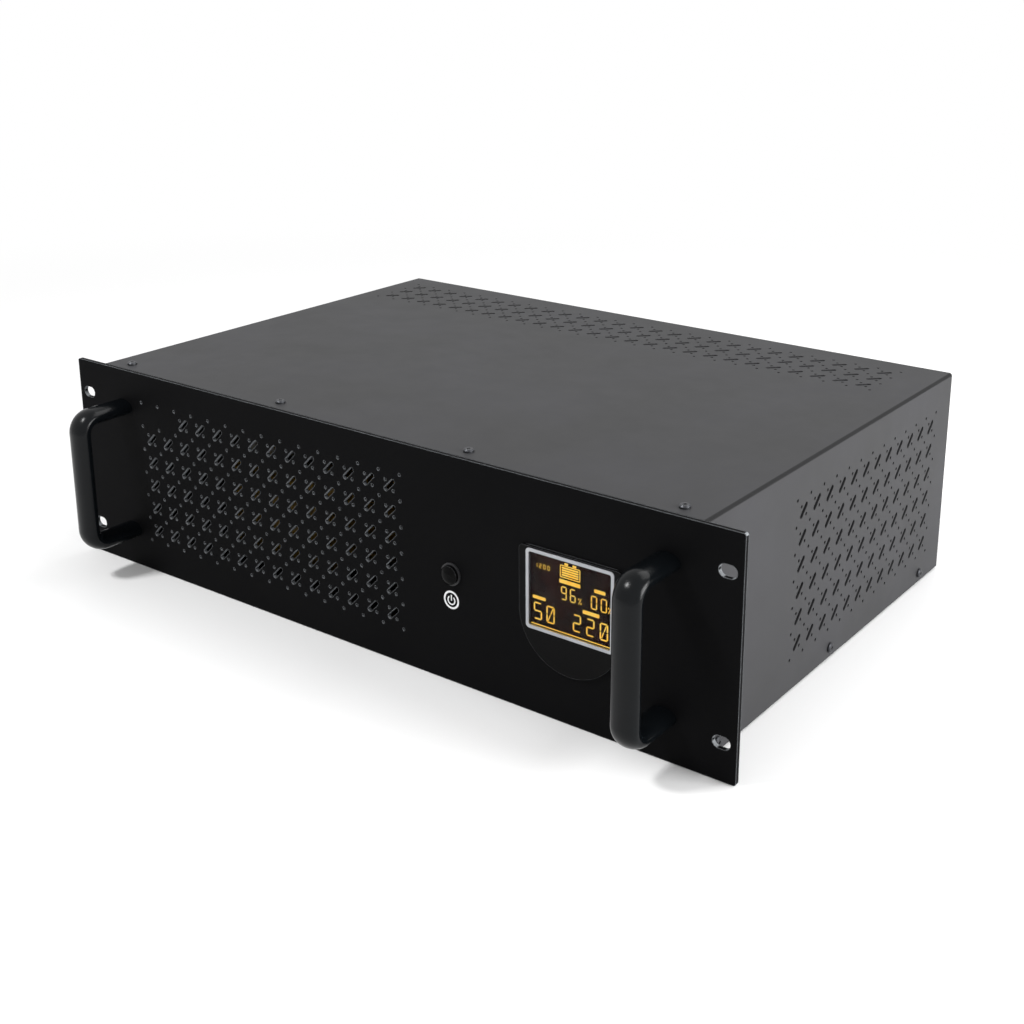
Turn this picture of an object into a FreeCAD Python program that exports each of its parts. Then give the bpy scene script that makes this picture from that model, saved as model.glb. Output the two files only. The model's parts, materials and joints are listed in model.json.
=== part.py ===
"""Rack-mounted uninterruptible power supply, three rack units high.

Millimetres. +X to the right seen from the front, +Y towards the back, +Z up. The origin is the
centre of the four rack slots on the rear face of the front panel, the face that seats on the rack.
Each function makes one sub-part, written to parts/ under its own name.
"""
import FreeCAD
import Part
import math
import os

V = FreeCAD.Vector
X_AXIS, Y_AXIS, Z_AXIS = V(1, 0, 0), V(0, 1, 0), V(0, 0, 1)

# ---------------------------------------------------------------- general clearances
seat_gap = 0.1            # between pieces clamped or laid on each other
fit_gap = 0.3             # round a piece in its cut-out
screw_clearance = 0.25    # radial, round every screw and stud
overrun = 1.0             # how far a cutting solid passes the face it opens

# ---------------------------------------------------------------- rack front panel (EIA-310)
panel_width = 482.6
panel_height = 130.5
panel_thickness = 2.5
panel_corner = 1.5
rack_slot_spacing_x = 465.1
rack_slot_spacing_z = 88.9
rack_slot_length = 10.0
rack_slot_width = 6.8

# ---------------------------------------------------------------- folded sheet-steel chassis
chassis_width = 438.0
chassis_depth = 297.5     # behind the panel's rear face
sheet = 1.2
fold_inside_radius = 0.8
flange_height = 16.0
floor_stud_height = 6.0
rail_end_gap = 1.2        # top rail to the chassis's side flanges

# ---------------------------------------------------------------- vent pattern
vent_pitch = 15.2
vent_slot_length = 10.0
vent_slot_width = 2.8
vent_slot_angle = 45.0
vent_dot_radius = 0.9
vent_dot_offset = 2.8
front_vent_columns = 14
front_vent_rows = 6
front_vent_centre_x = -75.8
front_vent_centre_z = 1.1
front_vent_blank_cells = 2     # at the left end of the top row
side_vent_rows = 6
side_vent_front_margin = 92.0       # panel to the first cell
side_vent_back_margin = 29.5        # back edge to the middle of the last cell
top_vent_centre_x = -5.0
top_vent_rows = 3
top_vent_side_margin = 21.0
top_vent_back_margin = 24.8

# ---------------------------------------------------------------- screws, studs and nuts
m3_radius, m3_head_radius, m3_head_height = 1.5, 2.9, 1.7
m4_radius, m4_head_radius, m4_head_height = 2.0, 3.7, 2.4
m5_radius, m5_head_radius, m5_head_height = 2.5, 4.6, 3.0
drive_radius, drive_bar_width, drive_depth = 1.1, 0.66, 1.0
head_top_share, head_taper_share = 0.8, 0.45   # of a pan head's radius and of its height
m5_hex_flats, m5_hex_head_height, m5_nut_height = 8.0, 3.5, 4.0
m4_nut_flats, m4_nut_height = 7.0, 3.2
cover_top_screw_side_margin, cover_top_screw_inner_x = 17.0, 70.0
cover_top_screw_y = 8.5
cover_side_screw_front_y, cover_side_screw_back_margin = 17.5, 30.0
cover_side_screw_height = 7.2       # above the chassis underside
cover_screw_length = 7.0
panel_stud_side_margin = 34.0
panel_stud_inner_x = (-100.0, 20.0)
panel_stud_inset = 9.0              # from the panel's top and bottom edges
panel_stud_length = 6.5

# ---------------------------------------------------------------- handles
handle_x = 199.5
handle_leg_spacing = 82.0
handle_width = 16.0
handle_thickness = 10.0
handle_reach = 33.5                 # panel face to the middle of the grip
handle_bend_radius = 9.5
handle_screw_depth, handle_screw_end_gap = 12.0, 1.0
handle_washer_radius, handle_washer_thickness = 5.0, 1.0

# ---------------------------------------------------------------- display
display_x = 144.0
display_top_z = 28.7
display_width = 63.0
display_height = 66.0
bezel_thickness = 1.6
bezel_corner = 2.5
frame_width, frame_height = 54.0, 44.3
frame_border = 1.8
frame_corner = 2.2
frame_drop = 0.9                    # bezel's top edge to the frame's top edge
frame_depth, frame_proud = 1.6, 0.3
window_thickness, window_recess = 1.0, 0.15
lcd_thickness = 5.1
display_ring_wall = 1.9
display_post_spacing, display_post_drop, display_post_radius = 32.0, 55.7, 3.0
display_hook_width, display_hook_height, display_hook_depth = 20.0, 1.6, 1.5
display_pcb_width, display_pcb_height, board_thickness = 60.0, 61.0, 1.6
display_screw_length = 5.0
ribbon_socket_wall, ribbon_socket_depth, ribbon_socket_height = 2.0, 5.0, 6.0

# ---------------------------------------------------------------- power button
button_x, button_z = 65.9, -1.6
button_cap_radius = 5.4
button_running_clearance = 0.08
button_ring_radius, button_ring_thickness = 6.4, 1.0
button_barrel_wall = 0.6
button_barrel_length = 9.0
button_body_size, button_body_length = 15.0, 11.0
button_travel = 2.5
button_proud = 1.6                  # cap's cylinder beyond the ring
button_dome_height = 2.2
button_stem_radius, button_stem_end_gap = 2.0, 1.0
button_cap_end_gap = 2.5            # cap to the contact block when pressed home
switch_tab_thickness, switch_tab_width, switch_tab_length, switch_tab_spacing = 0.8, 4.8, 7.0, 8.0
button_nut_flats, button_nut_thickness = 17.0, 2.5

# ---------------------------------------------------------------- transformer
transformer_side_margin, transformer_y = 97.0, 108.0
transformer_radius = 71.0
transformer_bore_radius = 24.0
transformer_height = 64.0
transformer_corner = 9.0
core_radius, core_bore_radius, core_height = 58.0, 36.0, 40.0
rubber_pad_thickness = 2.0
clamp_plate_radius, clamp_plate_thickness = 42.0, 2.0
clamp_cup_radius, clamp_cup_depth = 16.0, 6.0
transformer_stud_radius, transformer_stud_overrun = 4.0, 2.0
transformer_nut_flats, transformer_nut_height = 13.0, 6.5

# ---------------------------------------------------------------- batteries
battery_width, battery_length, battery_height = 65.0, 151.0, 94.0
battery_gap = 3.0
battery_pair_x, battery_y = 36.5, 135.0
battery_lid_height, battery_lid_step = 12.0, 0.8
battery_pad_thickness = 2.0
terminal_width, terminal_thickness, terminal_height = 0.8, 6.35, 7.0
terminal_inset_y, terminal_inset_x = 9.0, 14.0
strap_width, strap_thickness, strap_foot = 26.0, 1.5, 12.0

# ---------------------------------------------------------------- main board
board_side_margin, board_y = 58.0, 148.0
board_width, board_length = 92.0, 224.0
standoff_height, standoff_radius = 9.0, 3.0
board_hole_inset = 5.0
board_middle_hole_y = 184.0
heatsink_length, heatsink_height, heatsink_width = 100.0, 42.0, 26.0
heatsink_base, heatsink_fin, heatsink_fins = 4.0, 1.4, 5
heatsink_x_offset, heatsink_y = 31.0, 124.0
mosfet_width, mosfet_thickness, mosfet_height, mosfet_count = 10.0, 4.5, 18.0, 5
mosfet_pitch = 19.0
mosfet_leg, mosfet_leg_pitch, mosfet_lift = 0.9, 2.5, 7.2
capacitor_radius, capacitor_height = 11.0, 38.0
capacitor_pitch_x, capacitor_pitch_y, capacitor_first_y = 27.0, 25.0, 195.0
relay_width, relay_depth, relay_height, relay_pitch = 15.0, 19.0, 16.0, 20.0
relay_y = 243.0
choke_radius, choke_bore_radius, choke_height = 13.0, 6.0, 13.0
choke_x_offset, choke_y = -26.0, 58.0
control_board_width, control_board_height, control_board_y = 78.0, 38.0, 179.5
terminal_block_sizes = ((28.0, 11.0, 13.0), (22.0, 9.0, 9.0))
terminal_block_x_offsets = (24.0, 24.0)
terminal_block_y = (44.0, 60.0)
terminal_well_radius, terminal_well_depth = 1.8, 3.0
chip_size, chip_thickness, chip_rise = 14.0, 2.0, 22.8
pin_strip_width, pin_strip_depth, pin_strip_height = 62.4, 2.5, 3.0

# ---------------------------------------------------------------- rear wall pieces
fan_side_margin, fan_z = 69.0, 0.0
fan_size, fan_depth, fan_corner = 80.0, 25.0, 4.0
fan_bore_radius = 38.0
fan_screw_spacing = 71.5
fan_hub_radius, fan_blade_radius, fan_blades = 17.0, 37.0, 7
fan_strut_width, fan_strut_depth = 4.0, 3.0
fan_strut_bite = 1.0                # strut ends, into the housing
fan_rotor_depth = 19.0
fan_hub_step, fan_hub_cap, fan_axle_end_gap = 0.5, 2.0, 1.0
fan_blade_thickness, fan_blade_angle, fan_blade_end_gap = 1.4, 32.0, 1.5
fan_axle_radius, fan_axle_clearance = 1.5, 0.05
guard_wire_radius = 0.8
guard_ring_radii = (10.0, 18.0, 26.0, 34.0)
guard_ring_offset = 1.1
guard_spoke_start = 8.0
guard_eye_radius = 4.2
fan_screw_length = 10.0

inlet_side_margin, inlet_z = 41.0, 28.0
inlet_flange_width, inlet_flange_height, inlet_flange_thickness = 50.0, 24.0, 2.6
inlet_flange_corner = 3.0
inlet_body_width, inlet_body_height, inlet_body_depth = 27.6, 20.0, 21.0
inlet_cavity_width, inlet_cavity_height, inlet_cavity_depth = 24.6, 16.4, 16.5
inlet_chamfer = 4.2
inlet_pin_width, inlet_pin_thickness, inlet_pin_spacing, inlet_earth_rise = 4.0, 2.0, 14.0, 4.0
inlet_pin_reach, inlet_tab_length = 13.0, 9.0
inlet_screw_spacing = 40.0

breaker_side_margin, breaker_z = 83.0, 28.0
breaker_barrel_radius, breaker_flange_radius, breaker_flange_thickness = 5.9, 7.6, 1.2
breaker_body_width, breaker_body_height, breaker_body_depth = 15.0, 26.0, 28.0
breaker_button_radius, breaker_button_proud, breaker_travel = 3.6, 3.0, 4.5
breaker_button_clearance = 0.08
breaker_guide = 5.5                 # length still in the bore when the button has popped out
breaker_tab_width, breaker_tab_length, breaker_tab_thickness, breaker_tab_spacing = 6.3, 8.0, 0.8, 16.0
breaker_nut_flats, breaker_nut_thickness = 16.0, 2.4

outlet_x = (-62.0, 0.0, 62.0)
outlet_z = 0.0
outlet_flange, outlet_flange_thickness, outlet_flange_corner = 50.0, 2.6, 4.0
outlet_body_radius, outlet_well_radius, outlet_well_depth = 21.6, 19.4, 17.5
outlet_body_depth = 30.0
outlet_pin_spacing, outlet_pin_radius, outlet_pin_clearance = 19.0, 2.5, 0.15
outlet_floor = 2.5
outlet_sleeve_wall = 0.7
outlet_clip_width, outlet_clip_thickness, outlet_clip_clearance = 6.0, 0.8, 0.2
outlet_clip_recess, outlet_tail = 3.0, 3.0

port_z = -12.0                      # below the breaker
port_width, port_height, port_depth = 16.0, 13.0, 16.0
port_cavity_width, port_cavity_height, port_cavity_depth = 11.8, 8.6, 12.0
port_lip, port_lip_thickness = 2.0, 1.0
port_tongue_width, port_tongue_height, port_tongue_inset = 6.5, 3.0, 4.5

earth_side_margin, earth_z = 29.0, -36.0
earth_stud_length = 16.0
earth_washer_radius, earth_washer_thickness = 5.5, 1.0

# ---------------------------------------------------------------- leads
lead_radius = 2.0
thin_lead_radius = 1.3
ribbon_width, ribbon_thickness = 16.0, 0.9
ribbon_inset, ribbon_rise, ribbon_first_run = 6.0, 14.0, 5.0
lead_rise, lead_drop = 9.0, 26.0    # straight up from a terminal, straight down into a block
lead_front_gap = 12.0               # batteries to the leads that pass in front of them
lead_end_gap = 0.5
bend_share = 0.45                   # of the shorter run, taken up by each bend

# ---------------------------------------------------------------- derived places
half_chassis = chassis_width / 2
transformer_x = -half_chassis + transformer_side_margin
board_x = half_chassis - board_side_margin
fan_x = -half_chassis + fan_side_margin
inlet_x = half_chassis - inlet_side_margin
breaker_x = half_chassis - breaker_side_margin
port_x = breaker_x
earth_x = half_chassis - earth_side_margin
side_vent_columns = int((chassis_depth - side_vent_front_margin - side_vent_back_margin + vent_pitch / 2)
                        / vent_pitch)
top_vent_columns = int((chassis_width - 2 * top_vent_side_margin) / vent_pitch)
cover_top_screw_x = [side * x for side in (-1, 1)
                     for x in (half_chassis - cover_top_screw_side_margin, cover_top_screw_inner_x)]
cover_side_screw_back_y = chassis_depth - cover_side_screw_back_margin
cover_side_screw_y = (cover_side_screw_front_y, (cover_side_screw_front_y + cover_side_screw_back_y) / 2,
                      cover_side_screw_back_y)
panel_stud_outer_x = half_chassis - panel_stud_side_margin
panel_stud_x = (-panel_stud_outer_x, panel_stud_outer_x) + panel_stud_inner_x
half_height = panel_height / 2
underside_z = -half_height
floor_z = underside_z + sheet
cover_top_z = half_height
cover_inside_z = cover_top_z - sheet
cover_inside_x = chassis_width / 2 - sheet
base_half_width = cover_inside_x - seat_gap
panel_front_y = -panel_thickness
rear_face_y = chassis_depth
rear_inside_y = chassis_depth - sheet
leg_z = handle_leg_spacing / 2
rail_z = cover_inside_z - seat_gap
bezel_front_y = panel_front_y - bezel_thickness
display_arc_radius = display_width / 2
display_arc_z = display_top_z - display_height + display_arc_radius
frame_centre_z = display_top_z - frame_drop - frame_height / 2
frame_front_y = bezel_front_y - frame_proud
window_front_y = frame_front_y + window_recess
lcd_front_y = frame_front_y + frame_depth + seat_gap
display_ring_back_y = lcd_front_y + lcd_thickness
opening_width = frame_width + 2 * seat_gap
opening_height = frame_height + 2 * seat_gap
ring_width = opening_width + 2 * display_ring_wall
ring_height = opening_height + 2 * display_ring_wall - 2 * (display_ring_wall - frame_drop)
display_post_x = [display_x + side * display_post_spacing / 2 for side in (-1, 1)]
display_post_z = display_top_z - display_post_drop
button_barrel_inner = button_cap_radius + button_running_clearance
button_barrel_outer = button_barrel_inner + button_barrel_wall
button_ring_front_y = panel_front_y - button_ring_thickness
button_body_front_y = button_barrel_length
stud_top_z = half_height - panel_stud_inset
stud_bottom_z = -stud_top_z
pad_top_z = floor_z + rubber_pad_thickness
winding_z = pad_top_z + seat_gap
winding_top_z = winding_z + transformer_height
upper_pad_z = winding_top_z + seat_gap
clamp_z = upper_pad_z + rubber_pad_thickness + seat_gap
battery_z = floor_z + battery_pad_thickness + 2 * seat_gap
battery_top_z = battery_z + battery_height
battery_x = [battery_pair_x + side * (battery_width + battery_gap) / 2 for side in (-1, 1)]
battery_front_y = battery_y - battery_length / 2
board_z = floor_z + standoff_height + seat_gap
board_top_z = board_z + board_thickness
part_z = board_top_z + seat_gap
side_screw_z = underside_z + cover_side_screw_height
rail_half_length = base_half_width - sheet - rail_end_gap
breaker_bore_depth = breaker_travel + breaker_guide


# ---------------------------------------------------------------- shared shapes
def block(x, y, z):
    """A box from its (low, high) limits along each axis."""
    return Part.makeBox(x[1] - x[0], y[1] - y[0], z[1] - z[0], V(x[0], y[0], z[0]))


def centred_block(cx, width, y, cz, height):
    """A box centred at cx, cz that runs between two depths."""
    return block((cx - width / 2, cx + width / 2), y, (cz - height / 2, cz + height / 2))


def rod(radius, start, end):
    """A round bar between two points."""
    axis = end.sub(start)
    return Part.makeCylinder(radius, axis.Length, start, axis)


def tube(outer, inner, start, end):
    """A round tube between two points, open at both ends."""
    return rod(outer, start, end).cut(rod(inner, start, end))


def fuse(shapes):
    """One solid from touching or overlapping shapes."""
    return shapes[0].multiFuse(shapes[1:]).removeSplitter()


def group(shapes):
    """Separate solids kept together in one node."""
    return Part.makeCompound(shapes)


def hexagon(flats, height, start, axis):
    """A hexagonal prism that starts at a point and runs along an axis."""
    corner = flats / math.sqrt(3)
    points = [V(corner * math.cos(math.pi / 3 * k), corner * math.sin(math.pi / 3 * k), 0) for k in range(7)]
    prism = Part.Face(Part.makePolygon(points)).extrude(V(0, 0, height))
    prism.Placement = FreeCAD.Placement(start, FreeCAD.Rotation(Z_AXIS, axis))
    return prism


def hex_nut(flats, height, bore, start, axis):
    """A hexagon nut round its stud."""
    end = start.add(axis * height)
    return hexagon(flats, height, start, axis).cut(rod(bore, start, end))


def cross_screw(radius, head_radius, head_height, length, seat, axis):
    """A pan-head screw with a cross recess; its shank runs along the axis from its seat."""
    top = seat.sub(axis * head_height)
    taper = head_height * head_taper_share
    head = Part.makeCone(head_radius * head_top_share, head_radius, taper, top, axis)
    rim = rod(head_radius, top.add(axis * taper), seat)
    screw = fuse([head, rim, rod(radius, seat, seat.add(axis * length))])
    recess = FreeCAD.Placement(top, FreeCAD.Rotation(Z_AXIS, axis))
    for bar in ((2 * drive_radius, drive_bar_width), (drive_bar_width, 2 * drive_radius)):
        slot = Part.makeBox(bar[0], bar[1], drive_depth, V(-bar[0] / 2, -bar[1] / 2, 0))
        slot.Placement = recess.multiply(slot.Placement)
        screw = screw.cut(slot)
    return screw


def rounded_outline(cx, width, cz, height, radius, y):
    """A closed rectangle with round corners, in an upright plane at depth y."""
    edges = []
    x, z = width / 2 - radius, height / 2 - radius
    corners = ((x, z, 0), (-x, z, 90), (-x, -z, 180), (x, -z, 270))
    ends = []
    for px, pz, start in corners:
        mid = [V(cx + px + radius * math.cos(math.radians(start + turn)), y,
                 cz + pz + radius * math.sin(math.radians(start + turn))) for turn in (0, 45, 90)]
        edges.append(Part.Arc(*mid).toShape())
        ends.append((mid[0], mid[2]))
    for k in range(4):
        edges.append(Part.makeLine(ends[k][1], ends[(k + 1) % 4][0]))
    return Part.Wire(Part.__sortEdges__(edges))


def rounded_block(cx, width, y, cz, height, radius):
    """A box with round corners, between two depths."""
    face = Part.Face(rounded_outline(cx, width, cz, height, radius, y[0]))
    return face.extrude(V(0, y[1] - y[0], 0))


# ---------------------------------------------------------------- perforated sheets
class Sheet:
    """A flat sheet with holes, set by the directions of its width and height."""

    def __init__(self, origin, across, up, thickness):
        self.origin, self.across, self.up = origin, across, up
        self.normal = across.cross(up)
        self.thickness = thickness
        self.holes = []

    def point(self, u, v):
        return self.origin.add(self.across * u).add(self.up * v)

    def add_round(self, u, v, radius):
        self.holes.append(Part.Wire(Part.Circle(self.point(u, v), self.normal, radius).toShape()))

    def add_slot(self, u, v, length, width, angle):
        """A slot with round ends, turned by an angle in degrees from the width direction."""
        along = (math.cos(math.radians(angle)), math.sin(math.radians(angle)))
        side = (-along[1], along[0])
        reach, half = (length - width) / 2, width / 2

        def at(a, b):
            return self.point(u + a * along[0] + b * side[0], v + a * along[1] + b * side[1])

        edges = [Part.makeLine(at(-reach, -half), at(reach, -half)),
                 Part.Arc(at(reach, -half), at(reach + half, 0), at(reach, half)).toShape(),
                 Part.makeLine(at(reach, half), at(-reach, half)),
                 Part.Arc(at(-reach, half), at(-reach - half, 0), at(-reach, -half)).toShape()]
        self.holes.append(Part.Wire(edges))

    def add_vents(self, centre_u, centre_v, columns, rows, blank_cells=0):
        """Slanting slots, a dot at each side of every slot and one at every cell corner."""
        first_u = centre_u - (columns - 1) * vent_pitch / 2
        first_v = centre_v - (rows - 1) * vent_pitch / 2
        for row in range(rows):
            for column in range(columns):
                if row == rows - 1 and column < blank_cells:
                    continue
                u, v = first_u + column * vent_pitch, first_v + row * vent_pitch
                self.add_slot(u, v, vent_slot_length, vent_slot_width, vent_slot_angle)
                self.add_round(u - vent_dot_offset, v + vent_dot_offset, vent_dot_radius)
                self.add_round(u + vent_dot_offset, v - vent_dot_offset, vent_dot_radius)
        for row in range(rows + 1):
            for column in range(columns + 1):
                self.add_round(first_u + (column - 0.5) * vent_pitch, first_v + (row - 0.5) * vent_pitch,
                               vent_dot_radius)

    def turned(self, wire, sense):
        """The wire, running one way round the sheet's normal (sense 1) or the other (sense -1)."""
        if Part.Face(wire).normalAt(0, 0).dot(self.normal) * sense < 0:
            wire.reverse()
        return wire

    def solid(self, outline):
        wires = [self.turned(outline, 1)] + [self.turned(hole, -1) for hole in self.holes]
        return Part.Face(wires).extrude(self.normal * self.thickness)

    def rectangle(self, u, v):
        corners = [self.point(u[0], v[0]), self.point(u[1], v[0]), self.point(u[1], v[1]),
                   self.point(u[0], v[1]), self.point(u[0], v[0])]
        return self.solid(Part.makePolygon(corners))


# ---------------------------------------------------------------- panel, chassis and cover
def front_panel():
    """The rack panel, perforated on its left, with studs welded to its back."""
    plate = Sheet(V(0, 0, 0), X_AXIS, Z_AXIS, panel_thickness)
    for x in (-rack_slot_spacing_x / 2, rack_slot_spacing_x / 2):
        for z in (-rack_slot_spacing_z / 2, rack_slot_spacing_z / 2):
            plate.add_slot(x, z, rack_slot_length, rack_slot_width, 0)
    for x in (-handle_x, handle_x):
        for z in (-leg_z, leg_z):
            plate.add_round(x, z, m5_radius + screw_clearance)
    plate.add_vents(front_vent_centre_x, front_vent_centre_z, front_vent_columns, front_vent_rows,
                    front_vent_blank_cells)
    plate.add_round(button_x, button_z, button_barrel_outer + seat_gap)
    for x in display_post_x:
        plate.add_round(x, display_post_z, display_post_radius + fit_gap)
    plate.holes.append(rounded_outline(display_x, ring_width + 2 * seat_gap, frame_centre_z,
                                       ring_height + 2 * seat_gap, frame_corner, 0))
    outline = rounded_outline(0, panel_width, 0, panel_height, panel_corner, 0)
    studs = [rod(m4_radius, V(x, 0, z), V(x, panel_stud_length, z))
             for x in panel_stud_x for z in (stud_bottom_z, stud_top_z)]
    return fuse([plate.solid(outline)] + studs)


def panel_nuts():
    """The nuts that clamp the floor's front flange and the top rail to the panel's studs."""
    start_y = seat_gap + sheet + seat_gap
    return group([hex_nut(m4_nut_flats, m4_nut_height, m4_radius + seat_gap, V(x, start_y, z), Y_AXIS)
                  for x in panel_stud_x for z in (stud_bottom_z, stud_top_z)])


def top_cover():
    """Top and both sides folded from one sheet, vented at the sides and along the back of the top."""
    fold = fold_inside_radius + sheet
    side_x, low_z, high_z = chassis_width / 2, floor_z, cover_top_z - fold
    front_y = seat_gap
    top = Sheet(V(0, 0, cover_inside_z), X_AXIS, Y_AXIS, sheet)
    top_vent_y = rear_face_y - top_vent_back_margin - (top_vent_rows - 1) * vent_pitch / 2
    top.add_vents(top_vent_centre_x, top_vent_y, top_vent_columns, top_vent_rows)
    for x in cover_top_screw_x:
        top.add_round(x, cover_top_screw_y, m3_radius + screw_clearance)
    pieces = [top.rectangle((-side_x + fold, side_x - fold), (front_y, rear_face_y))]
    vent_y = rear_face_y - side_vent_back_margin - (side_vent_columns - 1) * vent_pitch / 2
    for side in (-1, 1):
        inner_x = side_x - sheet if side > 0 else -side_x
        wall = Sheet(V(inner_x, 0, 0), Y_AXIS, Z_AXIS, sheet)
        wall.add_vents(vent_y, 0, side_vent_columns, side_vent_rows)
        for y in cover_side_screw_y:
            wall.add_round(y, side_screw_z, m3_radius + screw_clearance)
        pieces.append(wall.rectangle((front_y, rear_face_y), (low_z, high_z)))
        axis_x = side * (side_x - fold)
        outer = rod(fold, V(axis_x, front_y, high_z), V(axis_x, rear_face_y, high_z))
        inner = rod(fold_inside_radius, V(axis_x, front_y, high_z), V(axis_x, rear_face_y, high_z))
        corner = block(sorted((axis_x, side * side_x)), (front_y, rear_face_y), (high_z, cover_top_z))
        pieces.append(outer.common(corner).cut(inner))
    return fuse(pieces)


def floor_studs():
    """Bare studs pressed into the floor, by place and radius and height."""
    studs = [(transformer_x, transformer_y, transformer_stud_radius,
              clamp_z + transformer_nut_height + transformer_stud_overrun - floor_z)]
    for x in strap_stud_x():
        studs.append((x, battery_y, m4_radius, floor_stud_height))
    return studs


def strap_stud_x():
    """Where the battery strap's two studs stand."""
    half_pair = battery_width + battery_gap / 2 + seat_gap + strap_thickness
    return [battery_pair_x + side * (half_pair + strap_foot / 2) for side in (-1, 1)]


def rear_wall_openings():
    """Everything cut in the rear wall, as solids that pass through it."""
    depth = (rear_inside_y - overrun, rear_face_y + overrun)

    def hole(x, z, radius):
        return rod(radius, V(x, depth[0], z), V(x, depth[1], z))

    cuts = [hole(fan_x, fan_z, fan_bore_radius), hole(breaker_x, breaker_z, breaker_barrel_radius + seat_gap),
            centred_block(inlet_x, inlet_body_width + 2 * fit_gap, depth, inlet_z,
                          inlet_body_height + 2 * fit_gap),
            centred_block(port_x, port_width + 2 * fit_gap, depth, port_z, port_height + 2 * fit_gap),
            hole(earth_x, earth_z, m5_radius + screw_clearance)]
    for x in (-fan_screw_spacing / 2, fan_screw_spacing / 2):
        for z in (-fan_screw_spacing / 2, fan_screw_spacing / 2):
            cuts.append(hole(fan_x + x, fan_z + z, m4_radius + screw_clearance))
    for x in (-inlet_screw_spacing / 2, inlet_screw_spacing / 2):
        cuts.append(hole(inlet_x + x, inlet_z, m3_radius + screw_clearance))
    for x in outlet_x:
        cuts.append(hole(x, outlet_z, outlet_body_radius + fit_gap))
    return cuts


def chassis_base():
    """Floor, side and front flanges and the full-height rear wall, folded from one sheet."""
    wide = (-base_half_width, base_half_width)
    deep = (seat_gap, rear_face_y)
    rear_top = cover_inside_z - seat_gap
    pieces = [block(wide, deep, (underside_z, floor_z)),
              block(wide, (seat_gap, seat_gap + sheet), (underside_z, underside_z + flange_height)),
              block(wide, (rear_inside_y, rear_face_y), (underside_z, rear_top)),
              block(wide, (rear_inside_y - flange_height, rear_face_y), (rear_top - sheet, rear_top))]
    for side in (-1, 1):
        flange_x = sorted((side * base_half_width, side * (base_half_width - sheet)))
        pieces.append(block(flange_x, deep, (underside_z, underside_z + flange_height)))
    for x, y, radius, height in floor_studs():
        pieces.append(rod(radius, V(x, y, floor_z), V(x, y, floor_z + height)))
    base = fuse(pieces)
    for side in (-1, 1):
        corner = sorted((side * (base_half_width - fold_inside_radius), side * chassis_width))
        base = base.cut(block(corner, deep, (rear_top - fold_inside_radius, cover_top_z)))
    hole_end_y = seat_gap + sheet + overrun
    holes = [rod(m4_radius + screw_clearance, V(x, 0, stud_bottom_z), V(x, hole_end_y, stud_bottom_z))
             for x in panel_stud_x]
    for y in cover_side_screw_y:
        holes.append(rod(m3_radius + seat_gap, V(-half_chassis, y, side_screw_z),
                         V(half_chassis, y, side_screw_z)))
    return base.cut(Part.makeCompound(holes + rear_wall_openings()))


def top_rail():
    """The angle behind the panel's top edge that the cover's front screws go into."""
    length = (-rail_half_length, rail_half_length)
    hole_end_y = seat_gap + sheet + overrun
    rail = fuse([block(length, (seat_gap, flange_height), (rail_z - sheet, rail_z)),
                 block(length, (seat_gap, seat_gap + sheet), (rail_z - flange_height, rail_z))])
    holes = [rod(m4_radius + screw_clearance, V(x, 0, stud_top_z), V(x, hole_end_y, stud_top_z))
             for x in panel_stud_x]
    for x in cover_top_screw_x:
        holes.append(rod(m3_radius + seat_gap, V(x, cover_top_screw_y, rail_z - sheet - overrun),
                         V(x, cover_top_screw_y, rail_z + overrun)))
    return rail.cut(Part.makeCompound(holes))


def cover_top_screws():
    return group([cross_screw(m3_radius, m3_head_radius, m3_head_height, cover_screw_length,
                              V(x, cover_top_screw_y, cover_top_z + seat_gap / 2), V(0, 0, -1))
                  for x in cover_top_screw_x])


def cover_side_screws():
    return group([cross_screw(m3_radius, m3_head_radius, m3_head_height, cover_screw_length,
                              V(side * (chassis_width / 2 + seat_gap / 2), y, side_screw_z), V(-side, 0, 0))
                  for side in (-1, 1) for y in cover_side_screw_y])


# ---------------------------------------------------------------- handles
def handle(x):
    """A bow handle of oval bar, drilled from behind for its two screws."""
    oval = Part.Ellipse(V(0, 0, 0), handle_width / 2, handle_thickness / 2).toShape()
    grip_y = panel_front_y - handle_reach
    leg_end_y = grip_y + handle_bend_radius
    grip_half = leg_z - handle_bend_radius
    upright = FreeCAD.Rotation(X_AXIS, 90)
    pieces = []
    for side in (-1, 1):
        section = Part.Face(Part.Wire(oval))
        section.Placement = FreeCAD.Placement(V(x, leg_end_y, side * leg_z), upright)
        pieces.append(section.extrude(V(0, panel_front_y - leg_end_y, 0)))
        pieces.append(section.revolve(V(x, leg_end_y, side * grip_half), X_AXIS, 90 * side))
    section = Part.Face(Part.Wire(oval))
    section.Placement = FreeCAD.Placement(V(x, grip_y, -grip_half), FreeCAD.Rotation())
    pieces.append(section.extrude(V(0, 0, 2 * grip_half)))
    bar = fuse(pieces)
    bores = [rod(m5_radius + seat_gap, V(x, panel_front_y, side * leg_z),
                 V(x, panel_front_y - handle_screw_depth, side * leg_z)) for side in (-1, 1)]
    return bar.cut(Part.makeCompound(bores))


def handle_screws():
    seat_y = handle_washer_thickness + 2 * seat_gap
    length = handle_screw_depth + panel_thickness + seat_y - handle_screw_end_gap
    return group([cross_screw(m5_radius, m5_head_radius, m5_head_height, length, V(x, seat_y, z), V(0, -1, 0))
                  for x in (-handle_x, handle_x) for z in (-leg_z, leg_z)])


def handle_washers():
    return group([tube(handle_washer_radius, m5_radius + screw_clearance, V(x, seat_gap, z),
                       V(x, seat_gap + handle_washer_thickness, z))
                  for x in (-handle_x, handle_x) for z in (-leg_z, leg_z)])


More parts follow.
